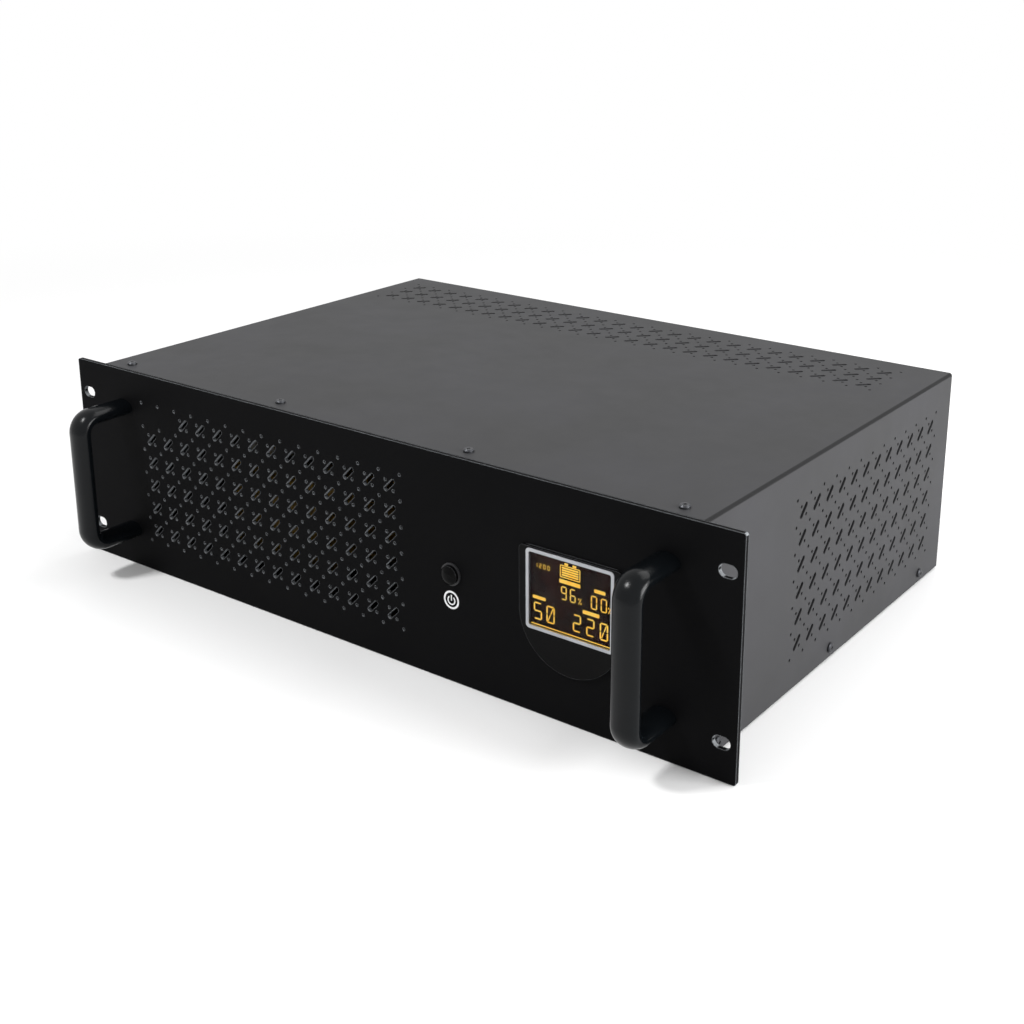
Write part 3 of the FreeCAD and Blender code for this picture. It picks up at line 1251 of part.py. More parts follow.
def display_ribbon():
    """The flat cable from the display board down to the main board's front edge."""
    start_y = display_ring_back_y + seat_gap + board_thickness + ribbon_socket_depth + seat_gap
    end = V(display_x, board_y - board_length / 2 + ribbon_inset, part_z)
    x = (display_x - ribbon_width / 2, display_x + ribbon_width / 2)
    t = ribbon_thickness
    bend_y = start_y + ribbon_first_run
    low_z = end.z + ribbon_rise
    strip = [block(x, (start_y, bend_y + t), (frame_centre_z, frame_centre_z + t)),
             block(x, (bend_y, bend_y + t), (low_z, frame_centre_z + t)),
             block(x, (bend_y, end.y + t), (low_z, low_z + t)),
             block(x, (end.y, end.y + t), (end.z, low_z + t))]
    return fuse(strip)


# ---------------------------------------------------------------- write every node
def write(name, shape):
    if not shape.isValid():
        raise ValueError(name + " is not a valid shape")
    shape.exportStep("parts/" + name + ".step")
    print("%-22s solids %3d  volume %10.0f" % (name, len(shape.Solids), shape.Volume))


def main():
    os.makedirs("parts", exist_ok=True)
    single = [front_panel, panel_nuts, top_cover, chassis_base, top_rail, cover_top_screws, cover_side_screws,
              handle_screws, handle_washers, display_bezel, display_frame, display_window, lcd_module,
              display_board, display_screws, display_ribbon, power_button, power_switch, power_switch_nut,
              transformer_core, transformer_winding, transformer_pads, transformer_clamp, transformer_nut,
              battery_terminals, battery_pad, battery_strap, battery_strap_nuts, battery_leads,
              main_board, board_standoffs, board_screws, heatsinks, power_transistors, capacitors, relays,
              choke, control_board, terminal_blocks, fan_frame, fan_rotor, fan_guard, fan_screws, mains_inlet,
              inlet_pins, inlet_screws, breaker_body, breaker_nut, breaker_button, outlet_contacts, data_port,
              earth_stud]
    for make in single:
        write(make.__name__, make())
    write("handle_left", handle(-handle_x))
    write("handle_right", handle(handle_x))
    for k, x in enumerate(battery_x):
        write("battery_%d" % (k + 1), battery(x))
    for k, x in enumerate(outlet_x):
        write("outlet_%d" % (k + 1), outlet(x))


main()
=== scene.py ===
# %% Load the frame
import json
import math

import bpy
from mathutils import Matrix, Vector


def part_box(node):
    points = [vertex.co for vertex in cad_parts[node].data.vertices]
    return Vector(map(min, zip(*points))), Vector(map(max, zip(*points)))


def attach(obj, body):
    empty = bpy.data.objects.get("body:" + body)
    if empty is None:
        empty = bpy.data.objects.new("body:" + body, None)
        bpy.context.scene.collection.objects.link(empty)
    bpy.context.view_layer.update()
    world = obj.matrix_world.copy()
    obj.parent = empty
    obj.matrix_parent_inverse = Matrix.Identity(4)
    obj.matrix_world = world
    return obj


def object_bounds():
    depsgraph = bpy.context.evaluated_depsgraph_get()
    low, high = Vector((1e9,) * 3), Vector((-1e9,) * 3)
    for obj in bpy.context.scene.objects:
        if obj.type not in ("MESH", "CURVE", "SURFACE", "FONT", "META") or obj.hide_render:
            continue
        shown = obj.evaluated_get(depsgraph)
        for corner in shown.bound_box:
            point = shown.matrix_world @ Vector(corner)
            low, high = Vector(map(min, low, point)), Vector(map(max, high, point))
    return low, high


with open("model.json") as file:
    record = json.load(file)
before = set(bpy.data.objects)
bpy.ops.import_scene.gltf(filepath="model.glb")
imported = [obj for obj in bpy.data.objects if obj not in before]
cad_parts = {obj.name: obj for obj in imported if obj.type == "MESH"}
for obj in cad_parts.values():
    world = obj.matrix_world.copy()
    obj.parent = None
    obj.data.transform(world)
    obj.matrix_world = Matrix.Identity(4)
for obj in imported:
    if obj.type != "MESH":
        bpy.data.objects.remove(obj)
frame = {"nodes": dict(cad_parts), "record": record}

cad_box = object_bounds()
print("pieces in the frame:", len(frame["nodes"]))

# %% [markdown]
# Everything below is in metres, in the frame of the uninterruptible power supply itself:
# X to the right, Y towards the back, Z up, and the origin in the middle of the rack slots,
# on the back of the front panel. Sizes of small things are easier to read in millimetres,
# so one value turns them into metres. Paint and plastic colours are written the way a
# colour chart gives them, as sRGB hex, and one function turns them to the linear values
# that a renderer adds up.

# %% Units and colours
mm = 0.001


def linear(hex_colour, alpha=1.0):
    """A chart colour such as "#1a1a1a" as linear red, green and blue."""
    channels = [int(hex_colour[i:i + 2], 16) / 255 for i in (1, 3, 5)]
    return tuple(c / 12.92 if c <= 0.04045 else ((c + 0.055) / 1.055) ** 2.4 for c in channels) + (alpha,)


print("satin black in linear light:", [round(c, 4) for c in linear("#1a1a1a")[:3]])

# %% [markdown]
# A finish is a small network of nodes. Writing each node as three lines of Blender calls
# hides what the finish does, so one helper adds a node, sets its properties and fills its
# sockets. A socket may be filled with a plain value or with another node's output, and in
# the second case the helper draws the link. Every finish below is built with it.

# %% A helper that adds one node
def add(tree, kind, inputs=None, **settings):
    """Adds a node of that kind, with its settings and with its sockets filled or linked."""
    node = tree.nodes.new(kind)
    for name, value in settings.items():
        setattr(node, name, value)
    for name, value in (inputs or {}).items():
        if isinstance(value, bpy.types.NodeSocket):
            tree.links.new(value, node.inputs[name])
        else:
            node.inputs[name].default_value = value
    return node


# a Mix node keeps sockets for each data type, so its colour sockets are reached by place
mix_first, mix_second, mix_result = 6, 7, 2


def grains_per_metre(size_mm):
    """The noise scale at which one blob of a pattern is about size_mm across."""
    return 1000.0 / size_mm


print("an orange-peel blob of 1.6 mm is noise scale", grains_per_metre(1.6))

# %% [markdown]
# Nearly every surface here has the same four things to say: a base colour that isn't quite
# even, a second colour where it varies, a roughness that varies too, and a fine relief.
# They can be painted as images, but an image has seams and a fixed size. Noise in the
# object's own millimetres has neither, so each finish is noise, sized by the real grain.
# Sheet edges are never knife sharp, and the bevel node rounds the light on them. Besides that,
# a second colour is painted along edges and folds: a painted highlight where it is lighter, painted shade
# where it is darker.

# %% The common ground of a finish
def begin(name):
    """A new material with its shader, and the place on the object that patterns are read at."""
    material = bpy.data.materials.new(name)
    material.use_nodes = True
    tree = material.node_tree
    tree.nodes.clear()
    shader = add(tree, "ShaderNodeBsdfPrincipled")
    add(tree, "ShaderNodeOutputMaterial", {"Surface": shader.outputs["BSDF"]})
    place = add(tree, "ShaderNodeTexCoord").outputs["Object"]
    return material, tree, shader, place


def uneven_colour(tree, place, colour, other, patch_mm):
    """Two close colours in soft patches of about patch_mm."""
    patches = add(tree, "ShaderNodeTexNoise", {"Vector": place, "Scale": grains_per_metre(patch_mm),
                                               "Detail": 3.0})
    spread = add(tree, "ShaderNodeMapRange", {"Value": patches.outputs["Fac"],
                                              "From Min": 0.35, "From Max": 0.65})
    ramp = add(tree, "ShaderNodeMix", {"Factor": spread.outputs["Result"]}, data_type="RGBA")
    ramp.inputs[mix_first].default_value = linear(colour)
    ramp.inputs[mix_second].default_value = linear(other)
    return ramp.outputs[mix_result]


def painted_edge_shading(tree, colour, edge_shading_colour, radius_mm):
    """The colour, turning to a second colour where two faces meet within radius_mm: a painted highlight where
    it is lighter, painted shade where it is darker.
    """
    rounded = add(tree, "ShaderNodeBevel", {"Radius": radius_mm * mm}, samples=4)
    flat = add(tree, "ShaderNodeNewGeometry")
    agreement = add(tree, "ShaderNodeVectorMath", {}, operation="DOT_PRODUCT")
    tree.links.new(rounded.outputs["Normal"], agreement.inputs[0])
    tree.links.new(flat.outputs["Normal"], agreement.inputs[1])
    mask = add(tree, "ShaderNodeMapRange", {"Value": agreement.outputs["Value"],
                                            "From Min": 0.99, "From Max": 0.80})
    mixed = add(tree, "ShaderNodeMix", {"Factor": mask.outputs["Result"]}, data_type="RGBA")
    tree.links.new(colour, mixed.inputs[mix_first])
    mixed.inputs[mix_second].default_value = linear(edge_shading_colour)
    return mixed.outputs[mix_result]


def painted_fold_shading(tree, colour, fold_shading_colour):
    """The colour, turning to a second colour where the sheet bends from its top to its side: painted shade on
    the bend where it is darker, a painted highlight where it is lighter.
    """
    flat = add(tree, "ShaderNodeNewGeometry")
    facing = add(tree, "ShaderNodeSeparateXYZ", {"Vector": flat.outputs["Normal"]})
    both = add(tree, "ShaderNodeMath", {0: facing.outputs["X"], 1: facing.outputs["Z"]}, operation="MULTIPLY")
    bent = add(tree, "ShaderNodeMath", {0: both.outputs["Value"]}, operation="ABSOLUTE")
    mask = add(tree, "ShaderNodeMapRange", {"Value": bent.outputs["Value"],
                                            "From Min": 0.10, "From Max": 0.30})
    mixed = add(tree, "ShaderNodeMix", {"Factor": mask.outputs["Result"]}, data_type="RGBA")
    tree.links.new(colour, mixed.inputs[mix_first])
    mixed.inputs[mix_second].default_value = linear(fold_shading_colour)
    return mixed.outputs[mix_result]


def uneven_roughness(tree, place, low, high, patch_mm):
    """A roughness that wanders between low and high in patches of about patch_mm."""
    patches = add(tree, "ShaderNodeTexNoise", {"Vector": place, "Scale": grains_per_metre(patch_mm),
                                               "Detail": 4.0})
    return add(tree, "ShaderNodeMapRange", {"Value": patches.outputs["Fac"], "From Min": 0.3, "From Max": 0.7,
                                            "To Min": low, "To Max": high}).outputs["Result"]


def relief(tree, place, grain_mm, height_mm, under=None, detail=2.0):
    """Bumps of about grain_mm across and height_mm high, over another relief if one is given."""
    bumps = add(tree, "ShaderNodeTexNoise", {"Vector": place, "Scale": grains_per_metre(grain_mm),
                                             "Detail": detail})
    inputs = {"Height": bumps.outputs["Fac"], "Strength": 1.0, "Distance": height_mm * mm}
    if under:
        inputs["Normal"] = under
    return add(tree, "ShaderNodeBump", inputs).outputs["Normal"]


def soft_corners(tree, radius_mm):
    """The normal of the surface as if its sharp edges were rounded to radius_mm."""
    return add(tree, "ShaderNodeBevel", {"Radius": radius_mm * mm}, samples=4).outputs["Normal"]


def fill(tree, shader, inputs):
    """Fills the shader's sockets with values or links."""
    for name, value in inputs.items():
        if isinstance(value, bpy.types.NodeSocket):
            tree.links.new(value, shader.inputs[name])
        else:
            shader.inputs[name].default_value = value


finishes = {}

# %% [markdown]
# The case is folded steel with a black powder coat. Powder is sprayed dry and melted in an
# oven, so it flows into a fine orange peel and stays satin, with almost no mirror image.
# The front panel is the darkest and flattest of the three coats. A light grey is painted along its
# edges: a painted highlight for the light that the sheet's rounded corners catch. The cover and the
# chassis have a lighter coat with a little more sheen, and a dark grey is painted along their edges
# and on the bend from top to side: painted shade. A clear coat over black would be too glossy, so the satin
# comes from the shader's own roughness and a low specular level.

# %% Powder-coated steel
def powder_coated_steel(name, colour, other, edge_shading_colour, edge_mm, gloss, rough, peel_mm, peel_height_mm):
    """Satin powder coat: an even tone with orange peel and fine grit, and a second colour painted along edges
    and folds, a painted highlight when lighter, painted shade when darker.
    """
    material, tree, shader, place = begin(name)
    coat = uneven_colour(tree, place, colour, other, patch_mm=70)
    # painted light goes into the coat colour here: lighter edges and folds on the panel are a painted
    # highlight, darker ones on the cover and chassis are painted shade
    coat = painted_fold_shading(tree, painted_edge_shading(tree, coat, edge_shading_colour, edge_mm), edge_shading_colour)
    peel = relief(tree, place, peel_mm, peel_height_mm, soft_corners(tree, edge_mm))
    # real powder grit is under 0.1 mm, drawn here at 0.45 mm so that it shows at all
    grit = relief(tree, place, 0.45, 0.004, peel)
    fill(tree, shader, {"Base Color": coat, "Normal": grit, "IOR": 1.5, "Specular IOR Level": gloss,
                        "Roughness": uneven_roughness(tree, place, rough - 0.02, rough + 0.02, 18)})
    finishes[name] = material


# the fourth colour is painted along edges and folds: a painted highlight on the front panel, painted shade on
# the cover and chassis
powder_coated_steel("front_panel_powder_coat", "#09090a", "#0b0b0c", "#7f8285", edge_mm=0.70,
                    gloss=0.03, rough=0.60, peel_mm=1.6, peel_height_mm=0.006)
powder_coated_steel("cover_powder_coat", "#333334", "#363638", "#161617", edge_mm=0.45,
                    gloss=0.12, rough=0.52, peel_mm=1.8, peel_height_mm=0.008)
powder_coated_steel("chassis_powder_coat", "#333334", "#363637", "#161617", edge_mm=0.35,
                    gloss=0.12, rough=0.54, peel_mm=1.8, peel_height_mm=0.008)
print("powder coats:", sorted(finishes))

# %% [markdown]
# The bow handles are bent aluminium bar, coated in the same works but in a smoother, blue
# black. They are the glossiest painted parts: the light breaks into a bright spot on each
# outer bend, and the peel makes that spot grainy. So the same kind of coat is used with a
# lower roughness and a taller, finer peel.

# %% Coated aluminium handles
def coated_handle_bar(name):
    """Blue-black coat on bent bar: shinier than the panel, so its peel shows in the highlight."""
    material, tree, shader, place = begin(name)
    coat = uneven_colour(tree, place, "#06080a", "#090b0d", patch_mm=30)
    peel = relief(tree, place, 1.3, 0.055, detail=3.0)
    # the grit of this coat is 0.1 mm, drawn at 0.5 mm so that the highlight breaks up
    grit = relief(tree, place, 0.5, 0.018, peel)
    fill(tree, shader, {"Base Color": coat, "Normal": grit, "IOR": 1.5, "Specular IOR Level": 0.15,
                        "Roughness": uneven_roughness(tree, place, 0.17, 0.23, 12)})
    finishes[name] = material


coated_handle_bar("handle_bar_coat")

# %% [markdown]
# The fasteners, rails and clamps are mild steel with a bright zinc plate, which is a metal
# with a faint blue and a cloudy, slightly crystalline patch to it. The fan guard is drawn
# wire, plated brighter. The cover's screws are the same steel turned grey in an oxide
# bath. A metal keeps the shader's default index of refraction, and its colour is its
# reflection.

# %% Plated and drawn metals
def plated_metal(name, colour, other, rough, spangle_mm, height_mm):
    """Bare or plated metal: its reflection is clouded by patches of spangle_mm."""
    material, tree, shader, place = begin(name)
    tone = uneven_colour(tree, place, colour, other, spangle_mm)
    fill(tree, shader, {"Base Color": tone, "Metallic": 1.0,
                        "Normal": relief(tree, place, spangle_mm / 4, height_mm, soft_corners(tree, 0.15)),
                        "Roughness": uneven_roughness(tree, place, rough - 0.07, rough + 0.07, spangle_mm)})
    finishes[name] = material


plated_metal("bright_zinc_plate", "#b9bdc3", "#a3a8b0", rough=0.32, spangle_mm=6, height_mm=0.004)
plated_metal("bright_guard_wire", "#cfd1d4", "#bfc2c6", rough=0.20, spangle_mm=3, height_mm=0.002)
plated_metal("nickel_plated_brass", "#c9b076", "#b69c62", rough=0.30, spangle_mm=3, height_mm=0.002)
plated_metal("grey_oxide_steel", "#4a4b4e", "#424346", rough=0.42, spangle_mm=2, height_mm=0.003)
plated_metal("mill_finish_aluminium", "#c3c6ca", "#b2b6bb", rough=0.40, spangle_mm=5, height_mm=0.003)
plated_metal("wound_silicon_steel", "#7b7f86", "#6b6f77", rough=0.45, spangle_mm=4, height_mm=0.006)

# %% [markdown]
# The display surround and the push button are moulded in gloss black ABS. Polished moulds
# leave no grain, only a faint waviness as the plastic shrinks, and that wave bends the
# reflections. The narrow frame around the display is the same plastic with a silver paint:
# aluminium flakes in lacquer, so it is half metal and rather rough.

# %% Polished and painted plastics
def polished_plastic(name, colour, other, edge_shading_colour, gloss, rough):
    """A polished moulding: smooth, with a slow wave from the plastic's shrinkage, and a lighter colour
    painted along its edges as a painted highlight.
    """
    material, tree, shader, place = begin(name)
    # the lighter fourth colour is a painted highlight along the edges of the moulding
    tone = painted_edge_shading(tree, uneven_colour(tree, place, colour, other, 25), edge_shading_colour, 0.4)
    wave = relief(tree, place, 14, 0.010, soft_corners(tree, 0.4))
    fill(tree, shader, {"Base Color": tone, "Normal": wave, "IOR": 1.5, "Specular IOR Level": gloss,
                        "Roughness": uneven_roughness(tree, place, rough, rough + 0.05, 9)})
    finishes[name] = material


# the fourth colour of each is a painted highlight along its edges
polished_plastic("gloss_black_abs", "#040405", "#060606", "#57585b", gloss=0.06, rough=0.10)
polished_plastic("red_polycarbonate", "#a8121a", "#9c0f16", "#b5262d", gloss=0.5, rough=0.18)
polished_plastic("navy_shrink_sleeve", "#16254d", "#122043", "#1f3163", gloss=0.5, rough=0.25)


def silver_painted_plastic(name):
    """Silver lacquer: aluminium flakes of about 0.2 mm that glint a little in pale grey."""
    material, tree, shader, place = begin(name)
    flakes = add(tree, "ShaderNodeTexVoronoi", {"Vector": place, "Scale": grains_per_metre(0.2)})
    glint = add(tree, "ShaderNodeMapRange", {"Value": flakes.outputs["Distance"],
                                             "To Min": 0.26, "To Max": 0.44})
    fill(tree, shader, {"Base Color": uneven_colour(tree, place, "#a9abae", "#9fa1a5", 8), "Metallic": 0.6,
                        "Roughness": glint.outputs["Result"], "Normal": soft_corners(tree, 0.25)})
    finishes[name] = material


silver_painted_plastic("silver_painted_abs")

# %% [markdown]
# Sockets, the switch body and the fan are glass-filled nylon from a spark-eroded mould,
# which leaves an even matt grain of about a third of a millimetre. The same recipe, with
# other colours and grains, covers the other mouldings: the battery cases, relays, terminal
# blocks, potted transistors and the cable insulation.

# %% Grained mouldings
def grained_moulding(name, colour, other, rough, grain_mm, height_mm=0.006):
    """A moulding with the matt grain that an eroded mould leaves on it."""
    material, tree, shader, place = begin(name)
    grain = relief(tree, place, grain_mm, height_mm, soft_corners(tree, 0.2), detail=4.0)
    fill(tree, shader, {"Base Color": uneven_colour(tree, place, colour, other, 20), "Normal": grain,
                        "IOR": 1.5,
                        "Roughness": uneven_roughness(tree, place, rough - 0.06, rough + 0.06, 6)})
    finishes[name] = material


grained_moulding("black_glass_filled_nylon", "#1b1b1d", "#202022", rough=0.52, grain_mm=0.6)
grained_moulding("grey_battery_abs", "#46474b", "#3f4044", rough=0.50, grain_mm=0.8)
grained_moulding("black_moulded_epoxy", "#1a1a1a", "#202020", rough=0.60, grain_mm=0.5)
grained_moulding("blue_relay_case", "#1f4a8c", "#1b427e", rough=0.35, grain_mm=0.7)
grained_moulding("green_terminal_block", "#1f7a45", "#1b6e3e", rough=0.42, grain_mm=0.7)
grained_moulding("red_lead_insulation", "#b01c1c", "#a01818", rough=0.40, grain_mm=1.0)
grained_moulding("grey_ribbon_insulation", "#a7a8ab", "#9a9b9f", rough=0.50, grain_mm=1.3)
grained_moulding("black_foam_rubber", "#161616", "#1c1c1c", rough=0.85, grain_mm=0.9, height_mm=0.03)
print("finishes so far:", len(finishes))

# %% [markdown]
# Two more surfaces live behind the vents. A circuit board is glass cloth in epoxy under
# green solder mask: the copper tracks stand a little proud and look lighter through it, so
# a grid of oblongs stands for them. The transformer is wrapped in amber polyester tape
# whose turns overlap by half. Only its tone shows from outside, so the turns are drawn as
# wide soft bands.

# %% Circuit board and winding tape
def solder_mask(name):
    """Green mask over copper: lighter where a track runs under it."""
    material, tree, shader, place = begin(name)
    tracks = add(tree, "ShaderNodeTexBrick", {"Vector": place, "Color1": linear("#0f5a2c"),
                                              "Color2": linear("#0d4f27"), "Mortar": linear("#2a7d45"),
                                              "Scale": grains_per_metre(12), "Mortar Size": 0.04,
                                              "Brick Width": 0.8, "Row Height": 0.35})
    fill(tree, shader, {"Base Color": tracks.outputs["Color"],
                        "Roughness": uneven_roughness(tree, place, 0.28, 0.4, 8),
                        "Normal": relief(tree, place, 1.1, 0.01), "IOR": 1.5})
    finishes[name] = material


def winding_tape(name):
    """Amber polyester tape over enamelled copper, in half-lapped turns."""
    material, tree, shader, place = begin(name)
    band_scale = grains_per_metre(9) / 20  # the wave node then draws soft bands about 57 mm apart
    turns = add(tree, "ShaderNodeTexWave", {"Vector": place, "Scale": band_scale, "Distortion": 1.5,
                                            "Detail": 2.0}, wave_type="RINGS", rings_direction="Z")
    tint = add(tree, "ShaderNodeMix", {"Factor": turns.outputs["Fac"]}, data_type="RGBA")
    tint.inputs[mix_first].default_value = linear("#c79a35")
    tint.inputs[mix_second].default_value = linear("#a9802a")
    bump = add(tree, "ShaderNodeBump", {"Height": turns.outputs["Fac"], "Distance": 0.3 * mm,
                                        "Strength": 0.8})
    fill(tree, shader, {"Base Color": tint.outputs[mix_result], "Roughness": 0.35,
                        "Normal": bump.outputs["Normal"], "IOR": 1.6})
    finishes[name] = material


solder_mask("green_solder_mask")
winding_tape("amber_winding_tape")

# %% [markdown]
# The display is a negative liquid-crystal cell: a near-black brown field with an amber lamp
# behind it, and only the lit segments let that lamp through. The cell itself is dark glass
# with a polarising film, a little uneven where the lamp leaks. Over it lies a clear acrylic
# window, polished on both faces. The lit segments are given as emission of strength 1, so
# they show their own amber at any light level and don't glare.

# %% Display glass, window and lit amber
def dark_display_cell(name):
    """Brown-black cell: the lamp behind it leaks through in faint, wide patches."""
    material, tree, shader, place = begin(name)
    leak = uneven_colour(tree, place, "#080202", "#180503", 16)
    fill(tree, shader, {"Base Color": leak, "Emission Color": leak, "Emission Strength": 0.35,
                        "Roughness": uneven_roughness(tree, place, 0.22, 0.3, 10),
                        "Specular IOR Level": 0.06})
    finishes[name] = material


def polished_acrylic(name):
    """Clear acrylic under an anti-reflection film, which a low index of refraction stands for."""
    material, tree, shader, place = begin(name)
    fill(tree, shader, {"Base Color": linear("#f4f4f4"), "Transmission Weight": 1.0, "IOR": 1.09,
                        "Roughness": 0.02, "Normal": relief(tree, place, 20, 0.002)})
    finishes[name] = material


def lit_amber(name):
    """Segments with the amber lamp behind them, a little brighter in their middle."""
    material, tree, shader, place = begin(name)
    glow = uneven_colour(tree, place, "#ffc02a", "#f9d052", 5)
    fill(tree, shader, {"Base Color": linear("#3a2405"), "Emission Color": glow, "Emission Strength": 1.0,
                        "Roughness": 0.4})
    finishes[name] = material


dark_display_cell("dark_display_cell")
polished_acrylic("polished_acrylic")
lit_amber("lit_amber")

# %% [markdown]
# The sign under the push button is screen printed: white ink, a few hundredths of a
# millimetre thick, laid over the powder coat. Ink follows the coat's peel and has tiny
# pinholes, so its white is not quite even.

# %% Screen-printed white ink
def white_ink(name):
    """Matt white ink that follows the coat under it."""
    material, tree, shader, place = begin(name)
    fill(tree, shader, {"Base Color": uneven_colour(tree, place, "#e9eaeb", "#d9dadc", 1.0), "Roughness": 0.6,
                        "Normal": relief(tree, place, 1.6, 0.01), "IOR": 1.5})
    finishes[name] = material


white_ink("white_screen_ink")
print("all finishes:", len(finishes))

# %% [markdown]
# Now each piece of the frame gets its finish. The record names a material slot for every
# piece, so a table from slot to finish is enough: pieces of one kind share one finish, as
# they would in the works. The pieces are never moved or reshaped here.

# %% Give every frame piece its finish
finish_of_slot = {
    "powder_coated_panel": "front_panel_powder_coat",
    "powder_coated_handle": "handle_bar_coat",
    "powder_coated_cover": "cover_powder_coat",
    "powder_coated_chassis": "chassis_powder_coat",
    "zinc_steel": "bright_zinc_plate",
    "black_screw": "grey_oxide_steel",
    "gloss_black_plastic": "gloss_black_abs",
    "silver_plastic": "silver_painted_abs",
    "clear_window": "polished_acrylic",
    "lcd_glass": "dark_display_cell",
    "circuit_board": "green_solder_mask",
    "grey_cable": "grey_ribbon_insulation",
    "black_nylon": "black_glass_filled_nylon",
    "core_steel": "wound_silicon_steel",
    "winding": "amber_winding_tape",
    "rubber": "black_foam_rubber",
    "battery_case": "grey_battery_abs",
    "terminal_brass": "nickel_plated_brass",
    "cable_red": "red_lead_insulation",
    "aluminium": "mill_finish_aluminium",
    "black_epoxy": "black_moulded_epoxy",
    "capacitor_sleeve": "navy_shrink_sleeve",
    "relay_case": "blue_relay_case",
    "terminal_block_green": "green_terminal_block",
    "bright_wire": "bright_guard_wire",
    "red_plastic": "red_polycarbonate",
}
for part in frame["record"]["subparts"]:
    piece = frame["nodes"][part["node"]]
    piece.data.materials.clear()
    piece.data.materials.append(finishes[finish_of_slot[part["material_slot"]]])

# %% [markdown]
# The lit signs of the display and the printed sign are flat shapes with a small thickness.
# A flat shape can be drawn as a curve and filled, or written straight into a mesh as an
# outline that is given a front, a back and sides. The second keeps every corner where it
# is meant and makes closed pieces, so one plate builder serves them all. Outlines are in
# millimetres across and up, as on a drawing, and run counter-clockwise.

# %% A builder for thin plates
def plates(name, outlines, left, top, front, thickness, finish):
    """One mesh of thin closed plates. Outline points are mm to the right of left and below top."""
    points, faces = [], []
    for outline in outlines:
        start, count = len(points), len(outline)
        for depth in (front, front + thickness):
            points += [(left + x * mm, depth, top - y * mm) for x, y in outline]
        faces.append([start + k for k in range(count)])
        faces.append([start + count + k for k in reversed(range(count))])
        for k in range(count):
            after = (k + 1) % count
            faces.append([start + after, start + k, start + count + k, start + count + after])
    mesh = bpy.data.meshes.new(name)
    mesh.from_pydata(points, [], faces)
    mesh.validate()
    mesh.materials.append(finishes[finish])
    piece = bpy.data.objects.new(name, mesh)
    bpy.context.scene.collection.objects.link(piece)
    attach(piece, "chassis")
    print(name, "has", len(outlines), "plates and", len(faces), "faces")
    return piece


def bar(x0, y0, x1, y1, width):
    """A segment from one point to another, with pointed ends, as display segments have."""
    ax, ay = x1 - x0, y1 - y0
    length = math.hypot(ax, ay)
    ax, ay = ax / length * width / 2, ay / length * width / 2
    nx, ny = -ay, ax
    return [(x0, y0), (x0 + ax + nx, y0 + ay + ny), (x1 - ax + nx, y1 - ay + ny), (x1, y1),
            (x1 - ax - nx, y1 - ay - ny), (x0 + ax - nx, y0 + ay - ny)]


def panel(x0, y0, x1, y1, corner=0.25):
    """A rectangle with cut corners, from its upper left to its lower right."""
    return [(x0 + corner, y0), (x0, y0 + corner), (x0, y1 - corner), (x0 + corner, y1),
            (x1 - corner, y1), (x1, y1 - corner), (x1, y0 + corner), (x1 - corner, y0)]

# %% [markdown]
# A seven-segment figure is seven bars on a grid of two squares, and a table says which of
# them each figure lights. The large figures have slashed noughts, drawn with two slanting
# half-bars. The gaps between bars are as important as the bars, because they are what makes
# the figure read as a display and not as type.

# %% Figures made of segments
segments_of_figure = {"0": "abcdef", "1": "bc", "2": "abged", "5": "afgcd", "6": "afgedc", "9": "abcfgd"}
segment_gap = 0.12


def figure(digit, x, y, width, height, stroke, slashed=False):
    """The bars of one figure whose upper left corner is at x, y."""
    left, right = x + stroke / 2, x + width - stroke / 2
    high, low = y + stroke / 2, y + height - stroke / 2
    middle = (high + low) / 2
    gap = segment_gap
    ends = {"a": (left + gap, high, right - gap, high), "g": (left + gap, middle, right - gap, middle),
            "d": (left + gap, low, right - gap, low), "f": (left, high + gap, left, middle - gap),
            "b": (right, high + gap, right, middle - gap), "e": (left, middle + gap, left, low - gap),
            "c": (right, middle + gap, right, low - gap)}
    bars = [bar(*ends[s], stroke) for s in segments_of_figure[digit]]
    if slashed:
        inset = stroke * 0.9
        centre = (left + right) / 2
        bars.append(bar(right - inset, high + inset, centre + gap, middle - gap, stroke * 0.7))
        bars.append(bar(centre - gap, middle + gap, left + inset, low - inset, stroke * 0.7))
    return bars


def figures(digits, x, y, width, height, pitch, stroke, slashed=False):
    """A row of figures, pitch apart. Only noughts are slashed."""
    row = []
    for k, digit in enumerate(digits):
        row += figure(digit, x + k * pitch, y, width, height, stroke, slashed and digit == "0")
    return row


def ring(x, y, outer, inner, count, start=0.0, sweep=2 * math.pi):
    """A ring as a row of four-cornered plates, or part of one."""
    def at(radius, k):
        angle = start + sweep * k / count
        return x + radius * math.sin(angle), y - radius * math.cos(angle)
    return [[at(outer, k + 1), at(outer, k), at(inner, k), at(inner, k + 1)] for k in range(count)]


def percent_sign(x, y, width, height):
    """A slanting bar between two small rings."""
    radius = width * 0.2
    return ([bar(x + width * 0.85, y, x + width * 0.15, y + height, 0.4)]
            + ring(x + radius, y + radius * 1.4, radius, radius * 0.4, 8)
            + ring(x + width - radius, y + height - radius * 1.4, radius, radius * 0.4, 8))

# %% [markdown]
# The display's layout is set out in millimetres from the upper left corner of the visible
# field, as its drawing would be. The field is the opening of the silver frame, so its
# corner comes from the frame piece's box and the frame's width. The segments lie between
# the dark cell and the window, a hair in front of the cell's face.

# %% Lay out the lit display
frame_width = 1.8 * mm
plate_thickness = 0.12 * mm
frame_low, frame_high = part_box("display_frame")
cell_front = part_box("lcd_module")[0].y
field_left = frame_low.x + frame_width
field_top = frame_high.z - frame_width
lit_gap = 0.02 * mm
lit_front = cell_front - lit_gap - plate_thickness

